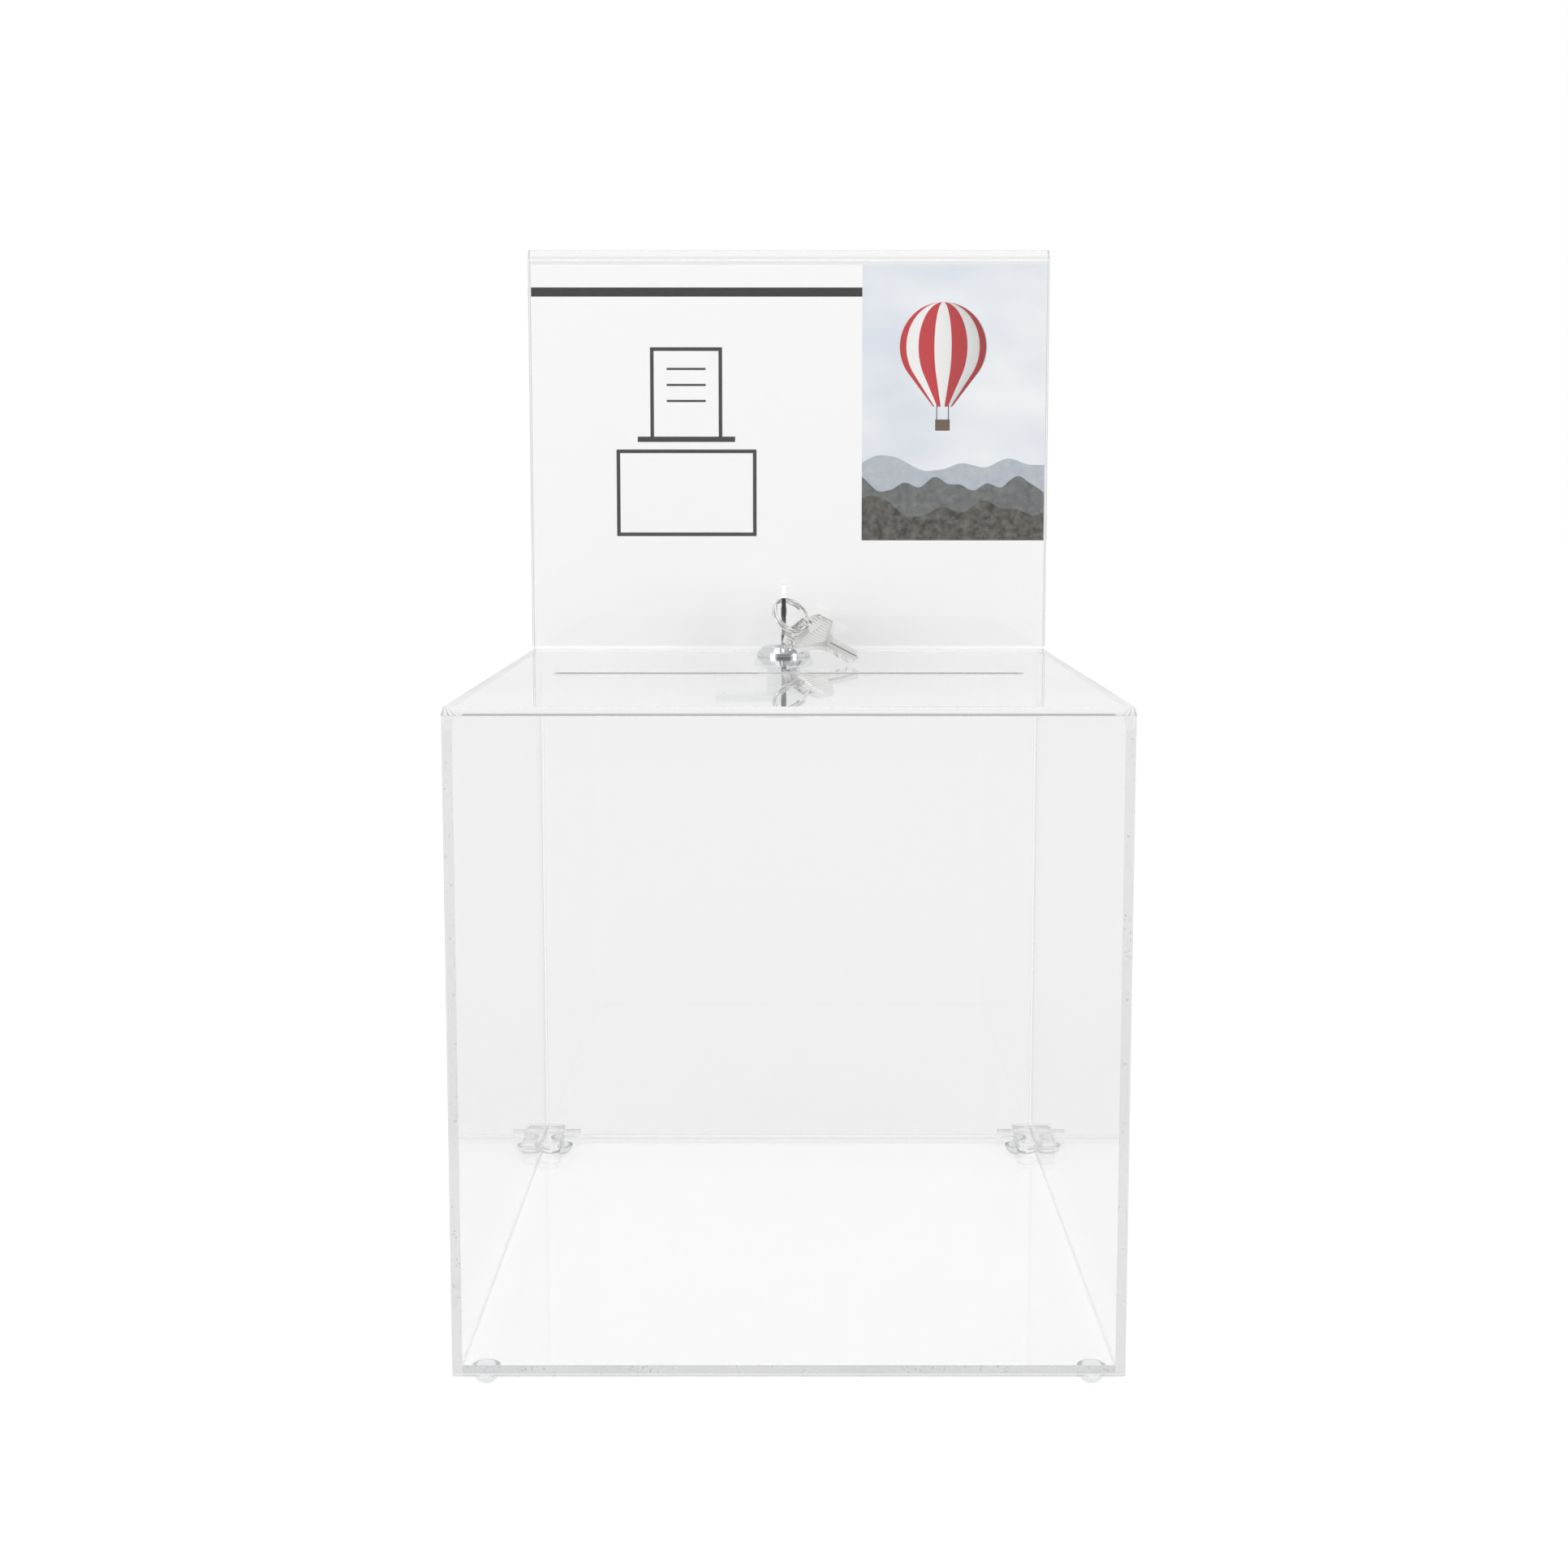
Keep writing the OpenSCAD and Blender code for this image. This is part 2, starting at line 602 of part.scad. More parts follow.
// domed bumper with a small flat to stand on
module foot(x, y) {
  low = [for (i = [0 : foot_steps]) let (z = foot_h * i / foot_steps)
    [sqrt(foot_ball_r * foot_ball_r - (foot_ball_r - foot_flat - z) * (foot_ball_r - foot_flat - z)), z]];
  translate([x, y, 0]) rotate_extrude($fn = small) polygon(concat([[0, 0]], low, [[0, foot_h]]));
}
module front_left_foot() clear() foot(-half_w + foot_side, front_y + foot_front);
module front_right_foot() clear() foot(half_w - foot_side, front_y + foot_front);
module back_left_foot() clear() foot(-half_w + foot_side, back_y - foot_back);
module back_right_foot() clear() foot(half_w - foot_side, back_y - foot_back);

// least gap of the coils to themselves, from their own points
ring_check = [for (i = [0 : 90]) ring_start_angle + i * (ring_end_angle - ring_start_angle) / 90];
turn_apart_angle = 60;
ring_self_gap = min([for (a = ring_check) for (b = ring_check) if (b - a > turn_apart_angle) norm(ring_point(a) - ring_point(b))]) - wire_d;
spring_self_gap = (spring_l - 2 * spring_wire_r) / spring_turns - 2 * spring_wire_r;
echo(ring_self_gap = ring_self_gap, spring_self_gap = spring_self_gap);

bent_sheet();
left_wall();
right_wall();
floor_panel();
back_door();
door_strike();
left_hinge_block();
right_hinge_block();
left_hinge_pin();
right_hinge_pin();
lock_housing();
lock_nut();
lock_washer();
lock_plug();
wafer_tumblers();
wafer_springs();
stop_washer();
lock_cam();
cam_screw();
key();
key_ring();
spare_key();
sign_card();
front_left_foot();
front_right_foot();
back_left_foot();
back_right_foot();
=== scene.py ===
"""Clear acrylic drop box with a sign pocket, a hinged back door and a cam lock with its keys.

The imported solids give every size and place. This script dresses them: the sheets get polished edges and
cemented seams, the metal gets its plating, and the sign pocket gets a printed card. Metres, +Z up, and
lengths in the helpers are millimetres.
"""

import math

import bmesh
import bpy
from mathutils import Matrix, Vector


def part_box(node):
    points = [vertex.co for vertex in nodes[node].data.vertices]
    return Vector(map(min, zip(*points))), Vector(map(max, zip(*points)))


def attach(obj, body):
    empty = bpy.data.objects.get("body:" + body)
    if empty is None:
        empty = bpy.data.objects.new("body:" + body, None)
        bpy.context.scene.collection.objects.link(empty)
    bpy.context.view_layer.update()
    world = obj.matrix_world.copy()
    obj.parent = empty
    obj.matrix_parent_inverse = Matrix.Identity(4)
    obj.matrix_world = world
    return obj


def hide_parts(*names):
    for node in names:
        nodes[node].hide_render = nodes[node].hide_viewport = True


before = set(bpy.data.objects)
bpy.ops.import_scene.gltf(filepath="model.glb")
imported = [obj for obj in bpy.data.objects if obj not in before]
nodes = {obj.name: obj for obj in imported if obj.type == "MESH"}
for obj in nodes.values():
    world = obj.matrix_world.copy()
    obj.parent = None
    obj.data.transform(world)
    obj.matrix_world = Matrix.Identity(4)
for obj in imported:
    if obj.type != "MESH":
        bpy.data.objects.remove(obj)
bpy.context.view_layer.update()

MM = 0.001
LID_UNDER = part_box("left_wall")[1].z / MM
FLOOR_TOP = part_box("floor_panel")[1].z / MM


# Small tools

def linear(hex_colour):
    """An sRGB hex colour as linear RGBA."""
    parts = [int(hex_colour[i:i + 2], 16) / 255 for i in (1, 3, 5)]
    return tuple(p / 12.92 if p <= 0.04045 else ((p + 0.055) / 1.055) ** 2.4 for p in parts) + (1.0,)


def add(tree, kind, inputs=None, **settings):
    """Adds a node with its settings; an input is a value, an output, or a node for its first output."""
    n = tree.nodes.new(kind)
    for name, value in settings.items():
        setattr(n, name, value)
    for name, value in (inputs or {}).items():
        if isinstance(value, bpy.types.Node):
            value = value.outputs[0]
        if isinstance(value, bpy.types.NodeSocket):
            tree.links.new(value, n.inputs[name])
        else:
            n.inputs[name].default_value = value
    return n


def cells(size):
    """Texture scale of a pattern whose cells are this many millimetres wide."""
    return 1 / (size * MM)


def new_material(name):
    """An empty node material and its output node."""
    m = bpy.data.materials.new(name)
    m.use_nodes = True
    m.node_tree.nodes.clear()
    return m, m.node_tree, m.node_tree.nodes.new("ShaderNodeOutputMaterial")


def new_object(name, verts, faces, material):
    """A mesh object from points in millimetres."""
    mesh = bpy.data.meshes.new(name)
    mesh.from_pydata([Vector(v) * MM for v in verts], [], faces)
    mesh.validate()
    obj = bpy.data.objects.new(name, mesh)
    bpy.context.scene.collection.objects.link(obj)
    mesh.materials.append(material)
    return obj


def apply_modifiers(obj):
    """Turns the modifiers of an object into its mesh."""
    bpy.context.view_layer.update()
    evaluated = obj.evaluated_get(bpy.context.evaluated_depsgraph_get())
    mesh = bpy.data.meshes.new_from_object(evaluated)
    obj.modifiers.clear()
    obj.data = mesh
    return obj


def polish_edges(obj, width, angle=35):
    """Rounds every edge sharper than the angle, as flame polishing or tumbling does."""
    for p in obj.data.polygons:
        p.use_smooth = True
    m = obj.modifiers.new("edges", "BEVEL")
    m.width = width * MM
    m.segments = 2
    m.limit_method = "ANGLE"
    m.angle_limit = math.radians(angle)
    m.use_clamp_overlap = True
    # the flat faces stay optically flat: only the rounded edges bend light
    m = obj.modifiers.new("flats", "WEIGHTED_NORMAL")
    m.mode = "FACE_AREA"
    m.weight = 100
    return apply_modifiers(obj)


def cut(obj, tools):
    """Cuts the tools out of an object and deletes them."""
    for t in tools:
        m = obj.modifiers.new("cut", "BOOLEAN")
        m.operation = "DIFFERENCE"
        m.solver = "EXACT"
        m.object = t
    apply_modifiers(obj)
    for t in tools:
        bpy.data.objects.remove(t)


def extrude(name, outline, axis, low, high, material):
    """A prism over an outline of two coordinates, along "x" or "z"."""
    n = len(outline)
    verts = [(c, a, b) if axis == "x" else (a, b, c) for c in (low, high) for a, b in outline]
    faces = [tuple(reversed(range(n))), tuple(range(n, 2 * n))]
    faces += [(i, (i + 1) % n, n + (i + 1) % n, n + i) for i in range(n)]
    obj = new_object(name, verts, faces, material)
    bm = bmesh.new()
    bm.from_mesh(obj.data)
    bmesh.ops.recalc_face_normals(bm, faces=bm.faces)
    bm.to_mesh(obj.data)
    bm.free()
    return obj


def arc(a, b, r, start, end, steps):
    """Points of an arc round (a, b), from one angle to another in degrees."""
    turns = [math.radians(start + (end - start) * i / steps) for i in range(steps + 1)]
    return [(a + r * math.cos(t), b + r * math.sin(t)) for t in turns]


def size_of(node):
    """Lowest and highest corner of a CAD node in millimetres."""
    low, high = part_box(node)
    return low / MM, high / MM


def copy_of(node, name, material, width, angle=35, gap=0.0):
    """A copy of a CAD node's form, flat faces joined, drawn in by a gap, with its edges rounded."""
    mesh = nodes[node].data.copy()
    mesh.name = name
    obj = bpy.data.objects.new(name, mesh)
    bpy.context.scene.collection.objects.link(obj)
    mesh.materials.clear()
    mesh.materials.append(material)
    bm = bmesh.new()
    bm.from_mesh(mesh)
    bmesh.ops.remove_doubles(bm, verts=bm.verts, dist=0.002 * MM)
    bmesh.ops.dissolve_limit(bm, angle_limit=math.radians(1), verts=bm.verts, edges=bm.edges)
    bmesh.ops.recalc_face_normals(bm, faces=bm.faces)
    if bm.calc_volume(signed=True) < 0:
        bmesh.ops.reverse_faces(bm, faces=bm.faces)
    bm.normal_update()
    # every face moves in by the gap, so that two cemented sheets never share one face
    moves = []
    for v in bm.verts:
        normals = []
        for f in v.link_faces:
            if all(f.normal.dot(n) < 0.9 for n in normals):
                normals.append(f.normal.copy())
        moves.append(sum(normals, Vector()))
    for v, move in zip(bm.verts, moves):
        v.co -= move * gap * MM
    bm.to_mesh(mesh)
    bm.free()
    for a in [a for a in mesh.attributes if a.name == "custom_normal"]:
        mesh.attributes.remove(a)
    return polish_edges(obj, width, angle)


# Clear materials

def lit_through(tree, path, body, tint):
    """Lamps and bounced light pass straight through a clear body, so that what stands inside is lit."""
    straight = add(tree, "ShaderNodeBsdfTransparent", {"Color": linear(tint)})
    lit = add(tree, "ShaderNodeMath", {0: path.outputs["Is Shadow Ray"], 1: path.outputs["Is Diffuse Ray"]},
              operation="MAXIMUM")
    return add(tree, "ShaderNodeMixShader", {0: lit, 1: body, 2: straight})


# painted shade: where the glow painted for light caught in the sheets turns grey: from and to in metres, and
# how grey at most
SHADE_AT_BACK_EDGES = ("Y", 0.090, 0.104, 1.0)
SHADE_DEEP_IN_LID = ("Y", -0.054, -0.048, 0.75)
SHADE_EASED_PAST_SLOT = ("Y", 0.002, 0.004, 0.4)
SHADE_NEAR_FOOT = ("Z", 0.15, 0.006, 0.12)
# millimetres from one patch of painted shade in the floor panel to the next
SHADE_PATCH = 22.2
# light that has turned or passed through a face more often than this is caught, and shows the painted glow
CAUGHT_TURNS = 3.5
CAUGHT_STEPS = 10.5


def clear_plastic(name, ior):
    """Polished clear plastic: water-clear with a trace of grey, and bright lines at its edges; light caught
    in it is painted as a glow, with painted shade in set places.
    """
    m, tree, out = new_material(name)
    path = add(tree, "ShaderNodeLightPath")
    glass = add(tree, "ShaderNodeBsdfPrincipled", {
        "Base Color": linear("#FBFBFB"), "Roughness": 0.0, "IOR": ior, "Transmission Weight": 1.0})
    body = lit_through(tree, path, glass, "#FBFBFB")
    # painted light: light that runs along inside a sheet is painted as a nearly white glow, with painted
    # shade in the places named above
    place = add(tree, "ShaderNodeTexCoord")
    spot = add(tree, "ShaderNodeSeparateXYZ", {0: place.outputs["Object"]})
    back, deep_in, past, foot = [
        add(tree, "ShaderNodeMapRange", {
            "Value": spot.outputs[axis], "From Min": start, "From Max": end, "To Min": 0.0, "To Max": most})
        for axis, start, end, most in (SHADE_AT_BACK_EDGES, SHADE_DEEP_IN_LID, SHADE_EASED_PAST_SLOT, SHADE_NEAR_FOOT)]
    lid = add(tree, "ShaderNodeMath", {0: spot.outputs["Z"], 1: (LID_UNDER - 0.1) * MM},
              operation="GREATER_THAN")
    deep_in = add(tree, "ShaderNodeMath", {0: deep_in, 1: past}, operation="SUBTRACT")
    deep_in = add(tree, "ShaderNodeMath", {0: deep_in, 1: lid}, operation="MULTIPLY")
    # painted shade: the glow in the floor panel is greyer in patches
    floor_panel_shade = add(tree, "ShaderNodeMath", {0: spot.outputs["Z"], 1: FLOOR_TOP * MM}, operation="LESS_THAN")
    shade_patches = add(tree, "ShaderNodeTexNoise", {
        "Vector": place.outputs["Object"], "Scale": cells(SHADE_PATCH), "Detail": 2.0})
    shade_patches = add(tree, "ShaderNodeMapRange", {
        "Value": shade_patches, "From Min": 0.4, "From Max": 0.6, "To Min": 0.0, "To Max": 0.22})
    floor_panel_shade = add(tree, "ShaderNodeMath", {0: floor_panel_shade, 1: shade_patches}, operation="MULTIPLY")
    painted_shade = back
    for share in (deep_in, foot, floor_panel_shade):
        painted_shade = add(tree, "ShaderNodeMath", {0: painted_shade, 1: share}, operation="MAXIMUM")
    grey = add(tree, "ShaderNodeMix", {"Factor": painted_shade, 6: linear("#F1F1F1"), 7: linear("#A0A0A0")},
               data_type="RGBA")
    # painted light: the caught light glows as an emission of this painted grey
    caught = add(tree, "ShaderNodeEmission", {"Color": grey.outputs[2], "Strength": 1.0})
    turned = add(tree, "ShaderNodeMath", {0: path.outputs["Glossy Depth"], 1: CAUGHT_TURNS},
                 operation="GREATER_THAN")
    passed = add(tree, "ShaderNodeMath", {0: path.outputs["Ray Depth"], 1: CAUGHT_STEPS},
                 operation="GREATER_THAN")
    deep = add(tree, "ShaderNodeMath", {0: turned, 1: passed}, operation="MAXIMUM")
    done = add(tree, "ShaderNodeMixShader", {0: deep, 1: body, 2: caught})
    tree.links.new(done.outputs[0], out.inputs["Surface"])
    return m


# millimetres from bubble to bubble and from spot to spot, and a bubble's radius as a share of its cell
BUBBLES = 1.43
STARVED_SPOTS = 3.85
BUBBLE_R = 0.28


def solvent_cement(name, frosted):
    """Cured solvent cement in a seam: clear, with a frosted share, small bubbles and starved spots."""
    m, tree, out = new_material(name)
    place = add(tree, "ShaderNodeTexCoord")
    bubbles = add(tree, "ShaderNodeTexVoronoi", {
        "Vector": place.outputs["Object"], "Scale": cells(BUBBLES), "Randomness": 1.0})
    spots = add(tree, "ShaderNodeTexNoise", {
        "Vector": place.outputs["Object"], "Scale": cells(STARVED_SPOTS), "Detail": 4.0})
    bubble = add(tree, "ShaderNodeMath", {0: bubbles.outputs["Distance"], 1: BUBBLE_R}, operation="LESS_THAN")
    patch = add(tree, "ShaderNodeMapRange", {"Value": spots, "From Min": 0.45, "From Max": 0.7})
    both = add(tree, "ShaderNodeMath", {0: bubble, 1: patch}, operation="MULTIPLY")
    some = add(tree, "ShaderNodeMath", {0: both, 1: 0.45, 2: frosted}, operation="MULTIPLY_ADD")
    frost = add(tree, "ShaderNodeBsdfTranslucent", {"Color": linear("#D2D5D6")})
    clear = add(tree, "ShaderNodeBsdfTransparent", {"Color": linear("#FFFFFF")})
    mix = add(tree, "ShaderNodeMixShader", {0: some, 1: clear, 2: frost})
    tree.links.new(mix.outputs[0], out.inputs["Surface"])
    return m


# grain of the moulded skin in millimetres
HAZE = 1.11


def clear_polyurethane():
    """Moulded clear polyurethane bumper: soft, a little milky, with a satin skin."""
    m, tree, out = new_material("clear_polyurethane_bumper")
    path = add(tree, "ShaderNodeLightPath")
    place = add(tree, "ShaderNodeTexCoord")
    haze = add(tree, "ShaderNodeTexNoise", {
        "Vector": place.outputs["Object"], "Scale": cells(HAZE), "Detail": 3.0})
    rough = add(tree, "ShaderNodeMapRange", {"Value": haze, "To Min": 0.04, "To Max": 0.16})
    rubber = add(tree, "ShaderNodeBsdfPrincipled", {
        "Base Color": linear("#F1F3F4"), "Roughness": rough, "IOR": 1.5, "Transmission Weight": 1.0})
    done = lit_through(tree, path, rubber, "#EEF0F1")
    tree.links.new(done.outputs[0], out.inputs["Surface"])
    return m


# Metals

def worked_metal(name, colour, marks, detail, smooth, rough, relief=None):
    """Metal whose roughness wanders with its fine marks (their size in mm), with its relief if any."""
    m, tree, out = new_material(name)
    place = add(tree, "ShaderNodeTexCoord")
    fine = add(tree, "ShaderNodeTexNoise", {
        "Vector": place.outputs["Object"], "Scale": cells(marks), "Detail": detail})
    wander = add(tree, "ShaderNodeMapRange", {"Value": fine, "To Min": smooth, "To Max": rough})
    metal = add(tree, "ShaderNodeBsdfPrincipled", {
        "Base Color": linear(colour), "Metallic": 1.0, "Roughness": wander})
    if relief:
        tree.links.new(relief(tree, place).outputs[0], metal.inputs["Normal"])
    tree.links.new(metal.outputs[0], out.inputs["Surface"])
    return m


# millimetres from cloud to cloud, coarse enough to show
CLOUDS = 1.67


def cloudy_relief(tree, place):
    """The fine clouds in the skin of zinc plate and drawn wire."""
    cloud = add(tree, "ShaderNodeTexNoise", {
        "Vector": place.outputs["Object"], "Scale": cells(CLOUDS), "Detail": 6.0})
    return add(tree, "ShaderNodeBump", {"Height": cloud, "Strength": 0.15, "Distance": 0.05 * MM})


# millimetres: the bow's middle from the tip, rib to rib, half the bar, and the reach of the ribs
KEY_BOW_MIDDLE = 33.1
GRIP_RIB = 1.3
GRIP_BAR = 2.2
GRIP_REACH = 12.6


def coined_grip(tree, place):
    """Ribs coined on both sides of the bar across a key's bow, within 1 mm of the bow's rim."""
    # key coordinates in millimetres: Y over the width, Z from the tip
    xyz = add(tree, "ShaderNodeSeparateXYZ", {0: place.outputs["Object"]})
    width = add(tree, "ShaderNodeMath", {0: xyz.outputs["Y"], 1: 1 / MM}, operation="MULTIPLY")
    along = add(tree, "ShaderNodeMath", {0: xyz.outputs["Z"], 1: 1 / MM, 2: -KEY_BOW_MIDDLE},
                operation="MULTIPLY_ADD")
    wave = add(tree, "ShaderNodeMath", {0: width, 1: 2 * math.pi / GRIP_RIB}, operation="MULTIPLY")
    ribs = add(tree, "ShaderNodeMath", {0: wave}, operation="SINE")
    far = add(tree, "ShaderNodeMath", {0: along}, operation="ABSOLUTE")
    beside = add(tree, "ShaderNodeMath", {0: far, 1: GRIP_BAR}, operation="GREATER_THAN")
    aside = add(tree, "ShaderNodeMath", {0: width}, operation="ABSOLUTE")
    inner = add(tree, "ShaderNodeMath", {0: aside, 1: far}, operation="ADD")
    within = add(tree, "ShaderNodeMath", {0: inner, 1: GRIP_REACH}, operation="LESS_THAN")
    mask = add(tree, "ShaderNodeMath", {0: beside, 1: within}, operation="MULTIPLY")
    grip = add(tree, "ShaderNodeMath", {0: ribs, 1: mask}, operation="MULTIPLY")
    return add(tree, "ShaderNodeBump", {"Height": grip, "Strength": 0.6, "Distance": 0.12 * MM})


# The print of the sign card, in millimetres: a rectangle is its middle (u, v) and half its sides

PANEL = (67.5, 101.5, 37.5, 56.5)
SKY_TONE, CLOUD_TONE = linear("#D9E0EA"), linear("#F2F4F6")
CLOUD_W, CLOUD_FLATNESS = 62.5, 1.9
BALLOON_U, BALLOON_V, BALLOON_R = 63.0, 124.0, 18.0
SKIRT_FROM, SKIRT_END, MOUTH_R, SKIRT_SLOPE = 0.61 * BALLOON_R, 1.35 * BALLOON_R, 0.22 * BALLOON_R, 0.773
WHITE_CLOTH, RED_CLOTH = linear("#F4F4F3"), linear("#C8343B")
BASKET = (BALLOON_U, BALLOON_V - SKIRT_END - 7.5, 3.0, 2.3)
BASKET_LINES = [(BALLOON_U + x, BASKET[1] + 4.5, 0.22, 3.6) for x in (-2.4, 2.4)]
# each ridge: its height, its swing, the width of a peak, and its tones in shade and sun
HILLS = ((76.0, 22.0, 25.0, "#AEB6BF", "#C6CBCF"),
         (68.0, 26.0, 16.67, "#5E6265", "#8F8F8A"),
         (58.0, 30.0, 22.22, "#363736", "#8A857A"))
SCRUB_W = 3.57
LINE = 1.5
SLIP, SLIP_FOOT = (-42.0, 104.0, 14.0, 19.0), 87.0
SLIP_LINES = [(-42.0, height, 8.0, 0.45) for height in (115.0, 108.5, 102.0)]
BOX_FRONT = (-42.0, 64.5, 28.0, 17.0)
BOX_MOUTH = (-42.0, 86.4, 20.0, 1.1)
RULE = (-40.0, 146.0, 70.0, 1.85)


def edge_distance(tree, card, rectangle):
    """Distance from a rectangle's edge, negative inside it."""
    u, v, half_u, half_v = rectangle
    moved = add(tree, "ShaderNodeVectorMath", {0: card, 1: (u, 0.0, v)}, operation="SUBTRACT")
    folded = add(tree, "ShaderNodeVectorMath", {0: moved}, operation="ABSOLUTE")
    past = add(tree, "ShaderNodeVectorMath", {0: folded, 1: (half_u, 0.0, half_v)}, operation="SUBTRACT")
    past = add(tree, "ShaderNodeSeparateXYZ", {0: past})
    return add(tree, "ShaderNodeMath", {0: past.outputs["X"], 1: past.outputs["Z"]}, operation="MAXIMUM")


def filled(tree, card, rectangle):
    """1 inside a rectangle."""
    distance = edge_distance(tree, card, rectangle)
    return add(tree, "ShaderNodeMath", {0: distance, 1: 0.0}, operation="LESS_THAN")


def stroked(tree, card, rectangle):
    """1 along a rectangle's outline."""
    distance = edge_distance(tree, card, rectangle)
    distance = add(tree, "ShaderNodeMath", {0: distance}, operation="ABSOLUTE")
    return add(tree, "ShaderNodeMath", {0: distance, 1: LINE / 2}, operation="LESS_THAN")


def layered(tree, base, layers):
    """A base colour with each ink laid over it in turn, as far as its mask says."""
    for mask, ink in layers:
        base = add(tree, "ShaderNodeMix", {"Factor": mask, 6: base, 7: ink}, data_type="RGBA").outputs[2]
    return base


def balloon_layers(tree, card):
    """A striped balloon: a round top, a skirt that narrows below it, and a basket on two lines."""
    uv = add(tree, "ShaderNodeSeparateXYZ", {0: card})
    du = add(tree, "ShaderNodeMath", {0: uv.outputs["X"], 1: BALLOON_U}, operation="SUBTRACT")
    dv = add(tree, "ShaderNodeMath", {0: uv.outputs["Z"], 1: BALLOON_V}, operation="SUBTRACT")
    # half its width at each height
    square = add(tree, "ShaderNodeMath", {0: dv, 1: dv}, operation="MULTIPLY")
    square = add(tree, "ShaderNodeMath", {0: BALLOON_R * BALLOON_R, 1: square}, operation="SUBTRACT")
    square = add(tree, "ShaderNodeMath", {0: square, 1: 0.01}, operation="MAXIMUM")
    dome = add(tree, "ShaderNodeMath", {0: square}, operation="SQRT")
    above = add(tree, "ShaderNodeMath", {0: dv, 1: SKIRT_END}, operation="ADD")
    skirt = add(tree, "ShaderNodeMath", {0: above, 1: SKIRT_SLOPE, 2: MOUTH_R}, operation="MULTIPLY_ADD")
    in_skirt = add(tree, "ShaderNodeMath", {0: dv, 1: -SKIRT_FROM}, operation="LESS_THAN")
    in_dome = add(tree, "ShaderNodeMath", {0: 1.0, 1: in_skirt}, operation="SUBTRACT")
    skirt = add(tree, "ShaderNodeMath", {0: skirt, 1: in_skirt}, operation="MULTIPLY")
    dome = add(tree, "ShaderNodeMath", {0: dome, 1: in_dome}, operation="MULTIPLY")
    half = add(tree, "ShaderNodeMath", {0: skirt, 1: dome}, operation="ADD")
    # eight gores in two colours, lit from the left
    wide = add(tree, "ShaderNodeMath", {0: half, 1: 0.1}, operation="MAXIMUM")
    across = add(tree, "ShaderNodeMath", {0: du, 1: wide}, operation="DIVIDE")
    turn = add(tree, "ShaderNodeMath", {0: across}, operation="ARCSINE")
    gore = add(tree, "ShaderNodeMath", {0: turn, 1: 4 / math.pi, 2: 10.25}, operation="MULTIPLY_ADD")
    gore = add(tree, "ShaderNodeMath", {0: gore}, operation="FRACT")
    gore = add(tree, "ShaderNodeMath", {0: gore, 1: 0.5}, operation="GREATER_THAN")
    light = add(tree, "ShaderNodeMath", {0: turn, 1: 0.6}, operation="ADD")
    light = add(tree, "ShaderNodeMath", {0: light}, operation="COSINE")
    light = add(tree, "ShaderNodeMath", {0: light, 1: 0.42, 2: 0.55}, operation="MULTIPLY_ADD")
    dyed = layered(tree, WHITE_CLOTH, [(gore, RED_CLOTH)])
    shaded = add(tree, "ShaderNodeVectorMath", {0: dyed, 1: light}, operation="MULTIPLY")
    cloth = layered(tree, dyed, [(0.7, shaded)])
    # the outline
    beside = add(tree, "ShaderNodeMath", {0: du}, operation="ABSOLUTE")
    beside = add(tree, "ShaderNodeMath", {0: beside, 1: half}, operation="LESS_THAN")
    level = add(tree, "ShaderNodeMath", {0: dv, 1: (SKIRT_END - BALLOON_R) / 2}, operation="ADD")
    level = add(tree, "ShaderNodeMath", {0: level}, operation="ABSOLUTE")
    level = add(tree, "ShaderNodeMath", {0: level, 1: (SKIRT_END + BALLOON_R) / 2}, operation="LESS_THAN")
    shape = add(tree, "ShaderNodeMath", {0: beside, 1: level}, operation="MULTIPLY")
    layers = [(shape, cloth)]
    layers += [(filled(tree, card, line), linear("#5A5652")) for line in BASKET_LINES]
    return layers + [(filled(tree, card, BASKET), linear("#6B5A4A"))]


def hill_layers(tree, card):
    """Three ridges, each nearer one darker, with scrub in two tones."""
    uv = add(tree, "ShaderNodeSeparateXYZ", {0: card})
    along = add(tree, "ShaderNodeCombineXYZ", {0: uv.outputs["X"], 1: 0.0, 2: 0.0})
    ground = add(tree, "ShaderNodeCombineXYZ", {0: uv.outputs["X"], 1: uv.outputs["Z"], 2: 0.0})
    scrub = add(tree, "ShaderNodeTexNoise", {
        "Vector": ground, "Scale": 1 / SCRUB_W, "Detail": 6.0, "Roughness": 0.7})
    sunny = add(tree, "ShaderNodeMapRange", {
        "Value": scrub, "From Min": 0.38, "From Max": 0.66, "To Min": 0.0, "To Max": 0.6})
    layers = []
    for height, swing, peak_w, shade, sunlit in HILLS:
        ridge = add(tree, "ShaderNodeTexNoise", {
            "Vector": along, "Scale": 1 / peak_w, "Detail": 1.0, "Roughness": 0.4})
        ridge = add(tree, "ShaderNodeMath", {0: ridge, 1: 0.5}, operation="SUBTRACT")
        top = add(tree, "ShaderNodeMath", {0: ridge, 1: swing, 2: height}, operation="MULTIPLY_ADD")
        below = add(tree, "ShaderNodeMath", {0: uv.outputs["Z"], 1: top}, operation="LESS_THAN")
        layers.append((below, layered(tree, linear(shade), [(sunny, linear(sunlit))])))
    return layers


